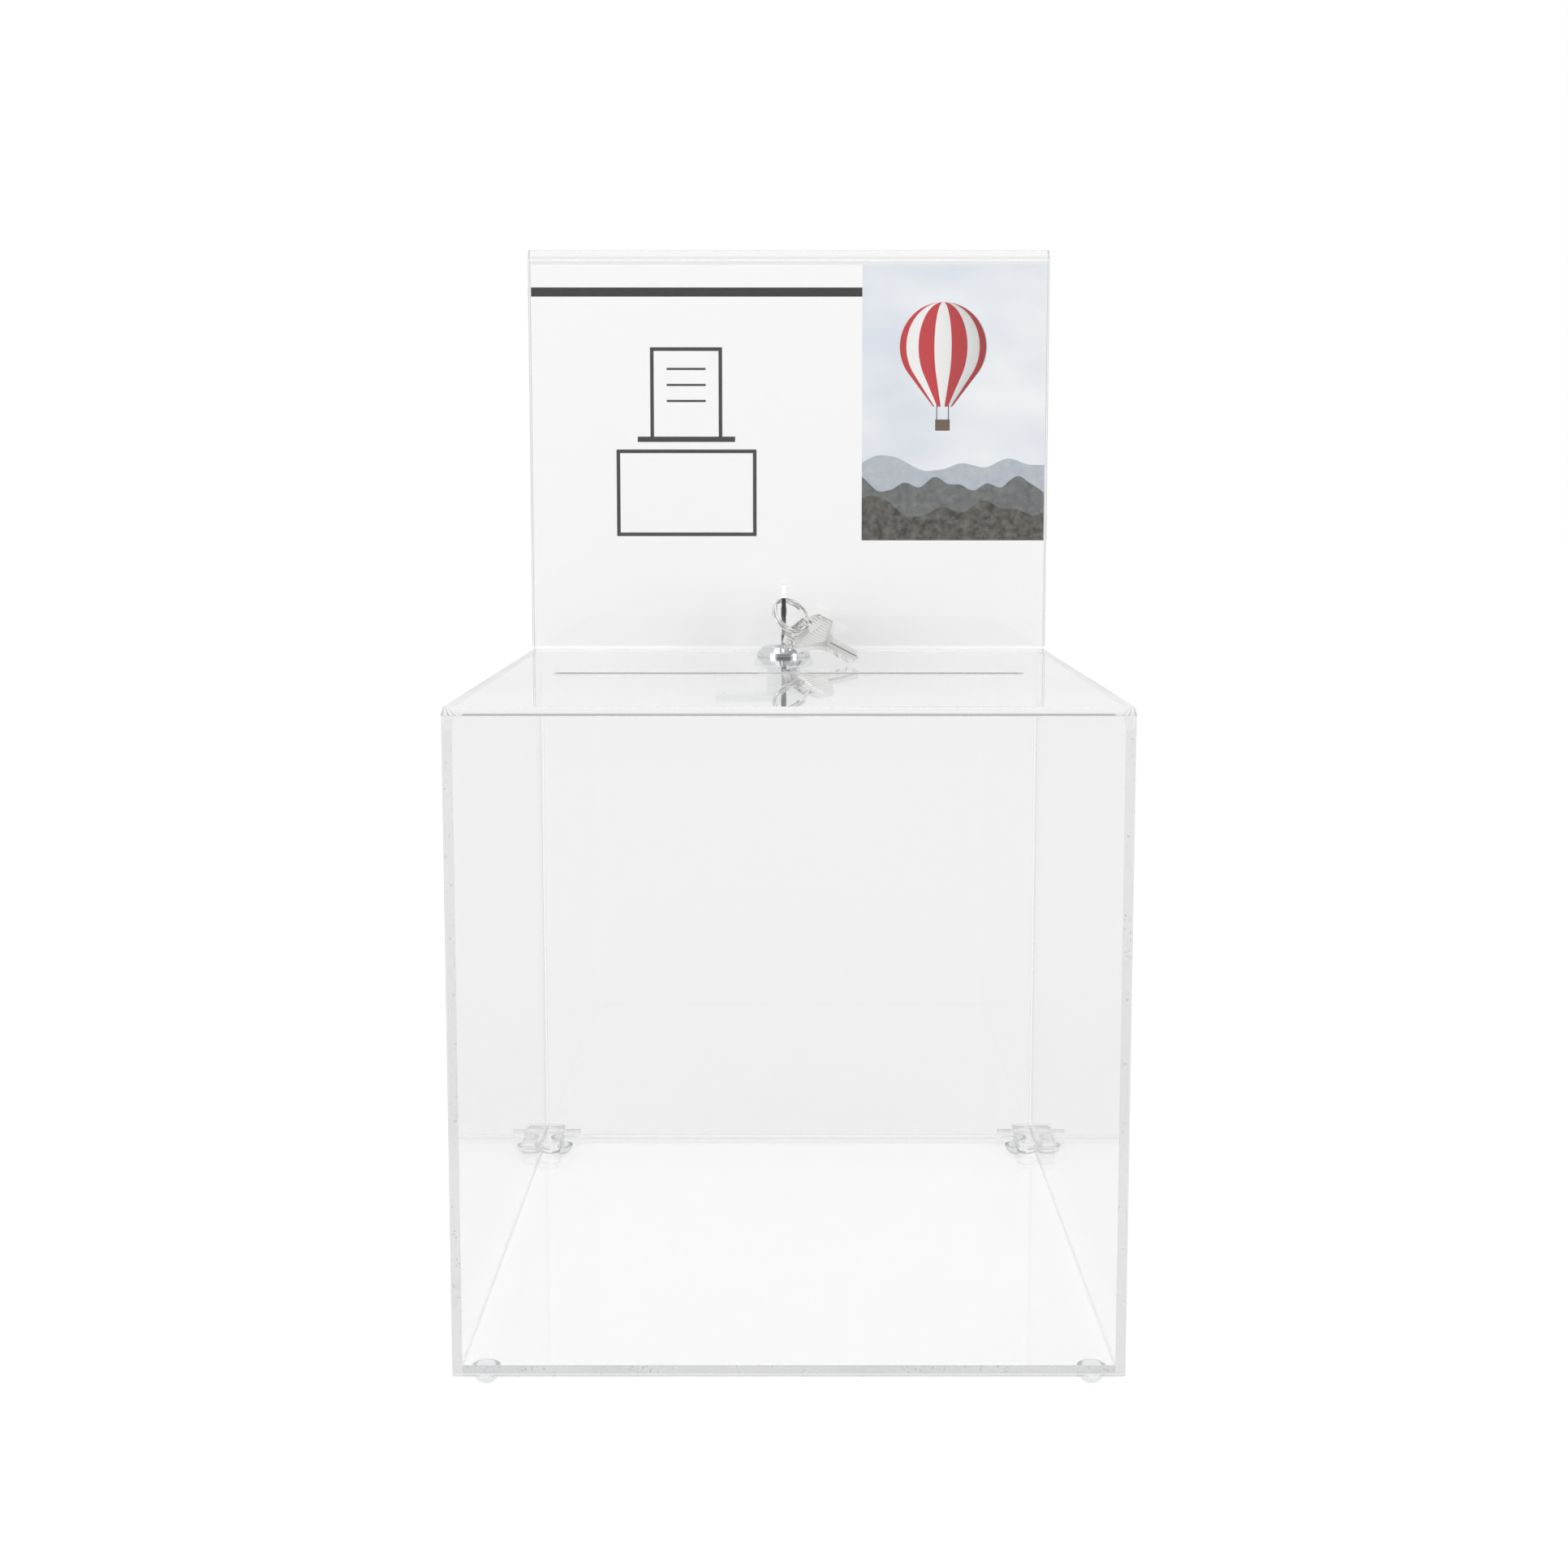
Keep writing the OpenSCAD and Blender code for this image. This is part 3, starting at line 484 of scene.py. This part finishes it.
def printed_card():
    """Satin white card: a picture panel, a pictogram of a slip over a slot, and one dark rule at the top."""
    m, tree, out = new_material("satin_printed_card")
    place = add(tree, "ShaderNodeTexCoord")
    # card coordinates in millimetres from its lower middle: X across it and Z up it
    foot = size_of("sign_card")[0].z
    card = add(tree, "ShaderNodeVectorMath", {
        0: place.outputs["Object"], 1: (1 / MM,) * 3, 2: (0.0, 0.0, -foot)}, operation="MULTIPLY_ADD")
    uv = add(tree, "ShaderNodeSeparateXYZ", {0: card})
    # picture: pale sky with soft cloud, a red and white balloon, and three rows of hills
    stretched = add(tree, "ShaderNodeMath", {0: uv.outputs["Z"], 1: CLOUD_FLATNESS}, operation="MULTIPLY")
    flat = add(tree, "ShaderNodeCombineXYZ", {0: uv.outputs["X"], 1: stretched, 2: 0.0})
    cloud = add(tree, "ShaderNodeTexNoise", {
        "Vector": flat, "Scale": 1 / CLOUD_W, "Detail": 4.0, "Roughness": 0.5})
    cloud = add(tree, "ShaderNodeMapRange", {"Value": cloud, "From Min": 0.35, "From Max": 0.65})
    layers = [(cloud, CLOUD_TONE)] + balloon_layers(tree, card) + hill_layers(tree, card)
    picture = layered(tree, SKY_TONE, layers)
    # pictogram in thin dark strokes: a slip with its lines, the front of a box and its mouth
    over_mouth = add(tree, "ShaderNodeMath", {0: uv.outputs["Z"], 1: SLIP_FOOT}, operation="GREATER_THAN")
    slip = add(tree, "ShaderNodeMath", {0: stroked(tree, card, SLIP), 1: over_mouth}, operation="MULTIPLY")
    strokes = [slip] + [filled(tree, card, line) for line in SLIP_LINES]
    strokes += [stroked(tree, card, BOX_FRONT), filled(tree, card, BOX_MOUTH)]
    layers = [(filled(tree, card, PANEL), picture)]
    layers += [(stroke, linear("#3C3C3B")) for stroke in strokes]
    layers += [(filled(tree, card, RULE), linear("#2F2F2F"))]
    colour = layered(tree, linear("#FBFBFB"), layers)
    # only the front is printed: the back stays plain
    surface = add(tree, "ShaderNodeNewGeometry")
    facing = add(tree, "ShaderNodeSeparateXYZ", {0: surface.outputs["Normal"]})
    front = add(tree, "ShaderNodeMath", {0: facing.outputs["Y"], 1: 0.0}, operation="LESS_THAN")
    colour = layered(tree, linear("#F6F6F5"), [(front, colour)])
    fibre = add(tree, "ShaderNodeTexNoise", {
        "Vector": place.outputs["Object"], "Scale": cells(0.667), "Detail": 3.0})
    bump = add(tree, "ShaderNodeBump", {"Height": fibre, "Strength": 0.08, "Distance": 0.03 * MM})
    paper = add(tree, "ShaderNodeBsdfPrincipled", {
        "Base Color": colour, "Roughness": 0.55, "Specular IOR Level": 0.3, "Normal": bump})
    tree.links.new(paper.outputs[0], out.inputs["Surface"])
    return m


# The materials, and the small parts that keep their CAD form

acrylic = clear_plastic("clear_cast_acrylic", 1.49)
clear_rod = clear_plastic("clear_drawn_polycarbonate", 1.58)
cement = solvent_cement("solvent_cement_seam", 0.06)
floor_cement = solvent_cement("solvent_cement_floor_seam", 0.25)
bumper = clear_polyurethane()
# bright chrome plating on polished die-cast zinc: a cold mirror with faint wiping marks
chrome = worked_metal("bright_chrome_plating", "#DADCDE", 2.86, 5.0, 0.03, 0.10)
# zinc-plated pressed steel: pale blue-grey, satin, with a fine cloudy grain
zinc = worked_metal("zinc_plated_steel", "#D6D9DB", CLOUDS, 6.0, 0.22, 0.38, cloudy_relief)
# drawn spring wire: darker and a little smoother
spring_steel = worked_metal("spring_wire", "#B9BBBD", CLOUDS, 6.0, 0.2, 0.3, cloudy_relief)
# punched brass wafers: yellow, with a rolled grain
brass = worked_metal("punched_brass", "#CDA85A", 1.25, 4.0, 0.25, 0.45)
# nickel-plated stamped key: a bright mirror softened by handling, with a coined grip on the bow
nickel = worked_metal("nickel_plated_key", "#E2E2E1", 2.0, 5.0, 0.05, 0.16, coined_grip)
# nickel-plated spring wire of the split ring: a clean mirror with fine drawing lines
split_wire = worked_metal("nickel_plated_wire", "#E0E0DF", 1.43, 4.0, 0.03, 0.1)
card_print = printed_card()

for node, material in {
        "lock_housing": chrome, "lock_nut": zinc, "lock_washer": zinc, "lock_plug": chrome,
        "wafer_tumblers": brass, "wafer_springs": spring_steel, "stop_washer": zinc, "lock_cam": zinc,
        "cam_screw": zinc, "left_hinge_pin": clear_rod, "right_hinge_pin": clear_rod,
        "front_left_foot": bumper, "front_right_foot": bumper,
        "back_left_foot": bumper, "back_right_foot": bumper}.items():
    nodes[node].data.materials.clear()
    nodes[node].data.materials.append(material)


# The bent sheet: front wall, lid and sign pocket in one strip

sheet_low, sheet_high = size_of("bent_sheet")
wall_low, wall_high = size_of("left_wall")
sheet_t = wall_high.x - wall_low.x
half_w = sheet_high.x
front_y, back_y = sheet_low.y, sheet_high.y
base_z, top_z = sheet_low.z, sheet_high.z
under_z = wall_high.z
lid_z = under_z + sheet_t
# outer radii of the three bends, and how far the pocket's flap ends above the lid
FRONT_R = 3.3
BACK_R = 4.5
FOLD_R = 4.25
FLAP_LIFT = 1.4
flap_y = back_y - 2 * FOLD_R
back_turn = (back_y - BACK_R, under_z + BACK_R)
fold_turn = (back_y - FOLD_R, top_z - FOLD_R)
front_turn = (front_y + FRONT_R, lid_z - FRONT_R)

outline = [(front_y, base_z)]
outline += arc(*front_turn, FRONT_R, 180, 90, 20)
outline += arc(*back_turn, BACK_R - sheet_t, -90, 0, 8)
outline += arc(*fold_turn, FOLD_R - sheet_t, 0, 180, 16)
outline += [(flap_y + sheet_t, lid_z + FLAP_LIFT), (flap_y, lid_z + FLAP_LIFT)]
outline += arc(*fold_turn, FOLD_R, 180, 0, 24)
outline += arc(*back_turn, BACK_R, 0, -90, 12)
outline += arc(*front_turn, FRONT_R - sheet_t, 90, 180, 6)
outline += [(front_y + sheet_t, base_z)]
sheet = extrude("bent_acrylic_sheet", outline, "x", -half_w, half_w, acrylic)

# the ballot slot with its round ends, and the lock's hole with two flats
SLOT_HALF, SLOT_R, SLOT_Y = 85.0, 3.0, 0.5
HOLE_R, HOLE_FLAT = 8.15, 6.75
CUT_PAST = 2
slot_end = arc(SLOT_HALF - SLOT_R, SLOT_Y, SLOT_R, -90, 90, 16)
slot_outline = slot_end + [(-x, 2 * SLOT_Y - y) for x, y in slot_end]
slot_tool = extrude("slot_tool", slot_outline, "z", under_z - CUT_PAST, lid_z + CUT_PAST, acrylic)
lock_low, lock_high = size_of("lock_housing")
lock_x, lock_y = (lock_low.x + lock_high.x) / 2, (lock_low.y + lock_high.y) / 2
flat_end = math.degrees(math.acos(HOLE_FLAT / HOLE_R))
hole_outline = [p for turn in (0, 180)
                for p in arc(lock_x, lock_y, HOLE_R, turn + flat_end, turn + 180 - flat_end, 24)]
hole_tool = extrude("hole_tool", hole_outline, "z", under_z - CUT_PAST, lid_z + CUT_PAST, acrylic)
cut(sheet, [slot_tool, hole_tool])
STRIP_ROUND = 0.3
polish_edges(sheet, STRIP_ROUND)
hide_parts("bent_sheet")
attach(sheet, "box")


# The flat sheets and the hinge blocks

GAP = 0.03
GLUED_ROUND, DOOR_ROUND = 0.15, 0.2
for node, name in (("left_wall", "left_acrylic_wall"), ("right_wall", "right_acrylic_wall"),
                   ("floor_panel", "acrylic_floor"), ("left_hinge_block", "left_acrylic_hinge_block"),
                   ("right_hinge_block", "right_acrylic_hinge_block")):
    piece = copy_of(node, name, acrylic, GLUED_ROUND, gap=GAP)
    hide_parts(node)
    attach(piece, "box")
for node, name in (("back_door", "acrylic_back_door"), ("door_strike", "acrylic_door_strike")):
    piece = copy_of(node, name, acrylic, DOOR_ROUND, gap=GAP)
    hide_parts(node)
    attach(piece, "door")


# A film of cement in every glued seam, just inside the gap that the sheets leave

FILM = 0.02
# how far the films stay in from the sheets' edges, the bend and the back, and off the front and the lid
EDGE = 0.3
PAST_BEND = 4.3
BEFORE_BACK = 5
PAST_FRONT = 0.005
UNDER_LID = 0.025
inner = half_w - sheet_t
outer = half_w - EDGE
foot_z = base_z + EDGE
floor_top = wall_low.z + sheet_t
front_in = front_y + sheet_t + PAST_FRONT
bend_end_y, bend_end_z = front_y + sheet_t + PAST_BEND, under_z - PAST_BEND
floor_y = front_y + sheet_t + EDGE
CORNER_FACES = [(0, 1, 3, 2), (4, 6, 7, 5), (0, 4, 5, 1), (2, 3, 7, 6), (0, 2, 6, 4), (1, 5, 7, 3)]
# each film's lowest and highest corner, with None on the side where it is as thin as a film
for name, low, high in (
        ("left_front_seam", (-outer, front_in, foot_z), (-inner, None, bend_end_z)),
        ("right_front_seam", (inner, front_in, foot_z), (outer, None, bend_end_z)),
        ("floor_front_seam", (-inner, front_in, foot_z), (inner, None, floor_top - 0.1)),
        ("left_top_seam", (-outer, bend_end_y, under_z - UNDER_LID), (-inner, back_y - BEFORE_BACK, None)),
        ("right_top_seam", (inner, bend_end_y, under_z - UNDER_LID), (outer, back_y - BEFORE_BACK, None)),
        ("left_floor_seam", (-inner - FILM / 2, floor_y, foot_z), (None, back_y - EDGE, floor_top - EDGE)),
        ("right_floor_seam", (inner - FILM / 2, floor_y, foot_z), (None, back_y - EDGE, floor_top - EDGE))):
    high = [h if h is not None else c + FILM for h, c in zip(high, low)]
    corners = [(x, y, z) for x in (low[0], high[0]) for y in (low[1], high[1]) for z in (low[2], high[2])]
    film = new_object(name, corners, CORNER_FACES, floor_cement if "floor" in name else cement)
    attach(film, "box")


# The two keys

BLADE_L, BOW_L, HOLE_IN = 23.4, 20.0, 5.2
KEY_ROUND = 0.16
KEY_L = BLADE_L + BOW_L
key_low, key_high = size_of("key")
key_place = Matrix.Translation(Vector((lock_x, lock_y, key_low.z)) * MM)
# the spare key's place: its hole, its heading, its slope and its roll
SPARE_HEADING, SPARE_SLOPE, SPARE_ROLL = 32.37, 12.52, -125.11
spare_hole = Vector((5.192, 62.158, lid_z + 10.822))
spare_place = (Matrix.Translation(spare_hole * MM)
               @ Matrix.Rotation(math.radians(SPARE_HEADING), 4, "Z")
               @ Matrix.Rotation(math.radians(SPARE_SLOPE - 90), 4, "X")
               @ Matrix.Rotation(math.radians(SPARE_ROLL), 4, "Z")
               @ Matrix.Translation(Vector((0, 0, HOLE_IN - KEY_L)) * MM))
for node, name, body, matrix in (("key", "nickel_key", "lock_key", key_place),
                                 ("spare_key", "nickel_spare_key", "spare", spare_place)):
    piece = copy_of("key", name, nickel, KEY_ROUND, 40)
    piece.data.transform(key_place.inverted())
    piece.matrix_world = matrix
    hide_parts(node)
    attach(piece, body)


# The split ring: the CAD wire's route, drawn with a rounder section

RING_R, WIRE_D, WIRE_GAP = 7.7, 1.1, 0.45
# in degrees: where the wire starts, how far it turns, and the stretch where it crosses to its second turn
WIRE_START, WIRE_TURN = 22, 650
CROSS_START, CROSS_TURN = 312, 70
END_ROUND = 0.45
RING_AXIS = Vector((0.508, -0.596, 0.622))
RING_SIDE = Vector((0.730, 0.681, 0.056))
normal = RING_AXIS.normalized()
side = RING_SIDE.normalized()
down = RING_AXIS.cross(RING_SIDE).normalized()
# where the wire hangs in the key's hole, and the way there from the ring's middle
hang = Vector((lock_x, lock_y, key_high.z - HOLE_IN)) + Vector((0.371, -0.951, -1.68))
middle = hang - RING_R * Vector((-0.3327, 0.6234, 0.7076))


def ring_point(angle):
    """A point of the wire's middle line; the second turn lies beside the first."""
    t = min(max((angle - CROSS_START) / CROSS_TURN, 0), 1)
    a = math.radians(angle)
    return (middle + RING_R * (math.cos(a) * side + math.sin(a) * down)
            + (WIRE_D + WIRE_GAP) * (t * t * (3 - 2 * t) - 0.5) * normal)


STEPS, SIDES = 260, 20
verts, faces = [], []
for i in range(STEPS + 1):
    angle = WIRE_START + WIRE_TURN * i / STEPS
    centre = ring_point(angle)
    forward = (ring_point(angle + 0.5) - ring_point(angle - 0.5)).normalized()
    out_way = (centre - middle - (centre - middle).dot(forward) * forward).normalized()
    across = forward.cross(out_way)
    # the cut ends of the wire are ground round
    rest = min(i, STEPS - i) * WIRE_TURN / STEPS * math.pi / 180 * RING_R
    r = WIRE_D / 2 * (1 if rest > END_ROUND else math.sqrt(max(1 - (1 - rest / END_ROUND) ** 2, 0.08)))
    for k in range(SIDES):
        a = 2 * math.pi * k / SIDES
        verts.append(centre + r * (math.cos(a) * out_way + math.sin(a) * across))
for i in range(STEPS):
    for k in range(SIDES):
        a, b = i * SIDES + k, i * SIDES + (k + 1) % SIDES
        faces.append((a, b, b + SIDES, a + SIDES))
faces += [tuple(reversed(range(SIDES))), tuple(range(STEPS * SIDES, (STEPS + 1) * SIDES))]
ring = new_object("nickel_split_ring", verts, faces, split_wire)
for f in ring.data.polygons:
    f.use_smooth = len(f.vertices) == 4
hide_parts("key_ring")
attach(ring, "ring")


# The printed card, a little bowed in its pocket

card_low, card_high = size_of("sign_card")
# the card's thickness, how far its middle bows back, and the air round it
CARD_T, CARD_BOW, CARD_EASE = 0.34, 0.22, 0.02
card_w = card_high.x - card_low.x
card_h = card_high.z - card_low.z - 2 * CARD_EASE
cols, rows = 42, 30
verts, faces = [], []
for y_in in (0, CARD_T):
    for j in range(rows + 1):
        for i in range(cols + 1):
            s, t = i / cols, j / rows
            bow = CARD_BOW * math.sin(math.pi * s) * (0.4 + 0.6 * t)
            verts.append((card_low.x + card_w * s, card_low.y + CARD_EASE + bow + y_in,
                          card_low.z + CARD_EASE + card_h * t))
row = cols + 1
layer = row * (rows + 1)
for j in range(rows):
    for i in range(cols):
        a = j * row + i
        faces.append((a, a + 1, a + row + 1, a + row))
        faces.append((layer + a, layer + a + row, layer + a + row + 1, layer + a + 1))
rim = list(range(cols)) + [cols + j * row for j in range(rows)]
rim += [rows * row + cols - i for i in range(cols)] + [(rows - j) * row for j in range(rows)]
for k in range(len(rim)):
    a, b = rim[k], rim[(k + 1) % len(rim)]
    faces.append((a, layer + a, layer + b, b))
card = new_object("printed_sign_card", verts, faces, card_print)
for p in card.data.polygons:
    p.use_smooth = True
card.data.set_sharp_from_angle(angle=math.radians(40))
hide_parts("sign_card")
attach(card, "card")


# Stage, light and camera

# light with fewer turns than this comes nearly straight through the sheets
STRAIGHT_TURNS = 2.5


def seen_through(tree, path):
    """1 for light that comes nearly straight through the sheets."""
    few = add(tree, "ShaderNodeMath", {0: path.outputs["Glossy Depth"], 1: STRAIGHT_TURNS},
              operation="LESS_THAN")
    return add(tree, "ShaderNodeMath", {0: path.outputs["Is Transmission Ray"], 1: few}, operation="MULTIPLY")


def studio_floor():
    """Pale seamless paper: white to the camera, with the soft shadow of what stands on it."""
    m, tree, out = new_material("seamless_paper")
    path = add(tree, "ShaderNodeLightPath")
    # straight through a sheet the paper is as white as beside it; to light that was turned inside a sheet,
    # and to bounced light, it is a darker grey without its glow, a painted shade
    seen = add(tree, "ShaderNodeMath", {0: path.outputs["Is Camera Ray"], 1: path.outputs["Is Glossy Ray"]},
               operation="MAXIMUM")
    seen = add(tree, "ShaderNodeMath", {0: seen, 1: seen_through(tree, path)}, operation="MAXIMUM")
    # painted shade: round the object's footprint the paper glows a little less, and so looks a little greyer,
    # where it shows through the sheets, eased again far off
    place = add(tree, "ShaderNodeTexCoord")
    spot = add(tree, "ShaderNodeSeparateXYZ", {0: place.outputs["Object"]})
    across = add(tree, "ShaderNodeMath", {0: spot.outputs["X"]}, operation="ABSOLUTE")
    along = add(tree, "ShaderNodeMath", {0: spot.outputs["Y"]}, operation="ABSOLUTE")
    away = add(tree, "ShaderNodeMath", {0: across, 1: along}, operation="MAXIMUM")
    painted_shade_sweep = add(tree, "ShaderNodeMapRange", {
        "Value": away, "From Min": 0.104, "From Max": 0.118, "To Min": 0.0, "To Max": 0.14})
    far = add(tree, "ShaderNodeMapRange", {
        "Value": away, "From Min": 0.3, "From Max": 1.5, "To Min": 0.0, "To Max": 0.035})
    painted_shade_sweep = add(tree, "ShaderNodeMath", {0: painted_shade_sweep, 1: far}, operation="SUBTRACT")
    painted_shade_sweep = add(tree, "ShaderNodeMath", {0: painted_shade_sweep, 1: path.outputs["Is Transmission Ray"]},
                operation="MULTIPLY")
    power = add(tree, "ShaderNodeMath", {0: 0.53, 1: painted_shade_sweep}, operation="SUBTRACT")
    # mirrors see the paper end in front of the object, where the dark room begins
    room = add(tree, "ShaderNodeMapRange", {
        "Value": spot.outputs["Y"], "From Min": -0.36, "From Max": -0.28, "To Min": 0.96, "To Max": 0.0},
        interpolation_type="SMOOTHSTEP")
    mirrored = add(tree, "ShaderNodeMath", {
        0: path.outputs["Is Glossy Ray"], 1: path.outputs["Is Transmission Ray"]}, operation="SUBTRACT")
    room = add(tree, "ShaderNodeMath", {0: room, 1: mirrored}, operation="MULTIPLY", use_clamp=True)
    dark = add(tree, "ShaderNodeBsdfDiffuse", {"Color": linear("#101010")})
    tooth = add(tree, "ShaderNodeTexNoise", {
        "Vector": place.outputs["Object"], "Scale": cells(2.5), "Detail": 3.0})
    bump = add(tree, "ShaderNodeBump", {"Height": tooth, "Strength": 0.05, "Distance": 0.05 * MM})
    paper = add(tree, "ShaderNodeBsdfDiffuse", {"Color": linear("#8C8C8C"), "Normal": bump})
    shade = add(tree, "ShaderNodeBsdfDiffuse", {"Color": linear("#AFAFAF"), "Normal": bump})
    white = add(tree, "ShaderNodeEmission", {"Color": linear("#FFFFFF"), "Strength": power})
    both = add(tree, "ShaderNodeAddShader", {0: shade, 1: white})
    mix = add(tree, "ShaderNodeMixShader", {0: seen, 1: paper, 2: both})
    mix = add(tree, "ShaderNodeMixShader", {0: room, 1: mix, 2: dark})
    tree.links.new(mix.outputs[0], out.inputs["Surface"])
    return m


def studio_world():
    """White all round, and as metal sees it with a dark gap behind the camera and two dark stands."""
    world = bpy.data.worlds.new("white_studio")
    world.use_nodes = True
    tree = world.node_tree
    tree.nodes.clear()
    out = tree.nodes.new("ShaderNodeOutputWorld")
    path = add(tree, "ShaderNodeLightPath")
    through = seen_through(tree, path)
    turned = add(tree, "ShaderNodeMath", {0: path.outputs["Is Transmission Ray"], 1: through},
                 operation="SUBTRACT")
    direction = add(tree, "ShaderNodeTexCoord")
    part = add(tree, "ShaderNodeSeparateXYZ", {0: direction.outputs["Generated"]})
    gap = add(tree, "ShaderNodeMapRange", {
        "Value": part.outputs["Y"], "From Min": -0.90, "From Max": -0.80, "To Min": 0.03, "To Max": 0.93},
        interpolation_type="SMOOTHSTEP")
    beside = add(tree, "ShaderNodeMath", {0: part.outputs["X"]}, operation="ABSOLUTE")
    beside = add(tree, "ShaderNodeMath", {0: beside, 1: -0.80}, operation="ADD")
    beside = add(tree, "ShaderNodeMath", {0: beside}, operation="ABSOLUTE")
    stands = add(tree, "ShaderNodeMapRange", {
        "Value": beside, "From Min": 0.06, "From Max": 0.09, "To Min": 0.05, "To Max": 1.0},
        interpolation_type="SMOOTHSTEP")
    room = add(tree, "ShaderNodeMath", {0: gap, 1: stands}, operation="MINIMUM")
    # from the light that falls on the object to what the camera sees, each kind of ray over the last
    shown = add(tree, "ShaderNodeBackground", {"Color": linear("#FFFFFF"), "Strength": 1.2})
    # painted shade: through the sheets the white shows dimmer, 0.92 nearly straight through and 0.62 for
    # light turned inside them
    for share, strength in ((path.outputs["Is Glossy Ray"], room), (turned, 0.62), (through, 0.92),
                            (path.outputs["Is Camera Ray"], 1.0)):
        seen = add(tree, "ShaderNodeBackground", {"Color": linear("#FFFFFF"), "Strength": strength})
        shown = add(tree, "ShaderNodeMixShader", {0: share, 1: shown, 2: seen})
    tree.links.new(shown.outputs[0], out.inputs["Surface"])
    return world


def softbox(name, place, target, width, height, power, mirrored=True):
    """A rectangular area lamp turned towards a point; a diffused one leaves no bright shape in mirrors."""
    lamp = bpy.data.lights.new(name, "AREA")
    lamp.shape = "RECTANGLE"
    lamp.size = width
    lamp.size_y = height
    lamp.energy = power
    obj = bpy.data.objects.new(name, lamp)
    obj.location = place
    obj.rotation_euler = (Vector(target) - Vector(place)).to_track_quat("-Z", "Y").to_euler()
    obj.visible_camera = False
    obj.visible_transmission = False
    obj.visible_glossy = mirrored
    bpy.context.scene.collection.objects.link(obj)


floor = new_object("studio_floor", [(-6000, -6000, 0), (6000, -6000, 0), (6000, 9000, 0), (-6000, 9000, 0)],
                   [(0, 1, 2, 3)], studio_floor())
floor.location.z = -0.0002
bpy.context.scene.world = studio_world()

OBJECT_MIDDLE = (0, 0, 0.2)
softbox("top_softbox", (0.0, -0.1, 1.5), OBJECT_MIDDLE, 1.2, 1.2, 2)
softbox("left_softbox", (-1.3, -1.0, 0.6), OBJECT_MIDDLE, 0.7, 1.0, 4.5)
softbox("right_softbox", (1.3, -1.1, 0.5), OBJECT_MIDDLE, 0.7, 1.0, 3.6)
softbox("front_fill", (0.0, -1.5, 0.35), (0, 0, 0.28), 1.4, 0.5, 3.2, mirrored=False)
# two narrow strips that draw the bright lines along bends and wire
softbox("back_strip", (0.0, 0.8, 1.3), OBJECT_MIDDLE, 1.4, 0.12, 1.2)
softbox("front_strip", (0.0, -2.0, 0.66), OBJECT_MIDDLE, 1.8, 0.07, 1.6)

CAMERA_DOWN = 5.27
camera_data = bpy.data.cameras.new("camera")
camera_data.sensor_width = 36
camera_data.lens = 42.63
camera_data.shift_x = -0.0029
camera_data.shift_y = -0.08
camera = bpy.data.objects.new("camera", camera_data)
camera.location = (-0.0001, -0.6670, 0.2826)
camera.rotation_euler = (math.radians(90 - CAMERA_DOWN), 0, 0)
bpy.context.scene.collection.objects.link(camera)
bpy.context.scene.camera = camera
bpy.context.scene.view_settings.view_transform = "Standard"
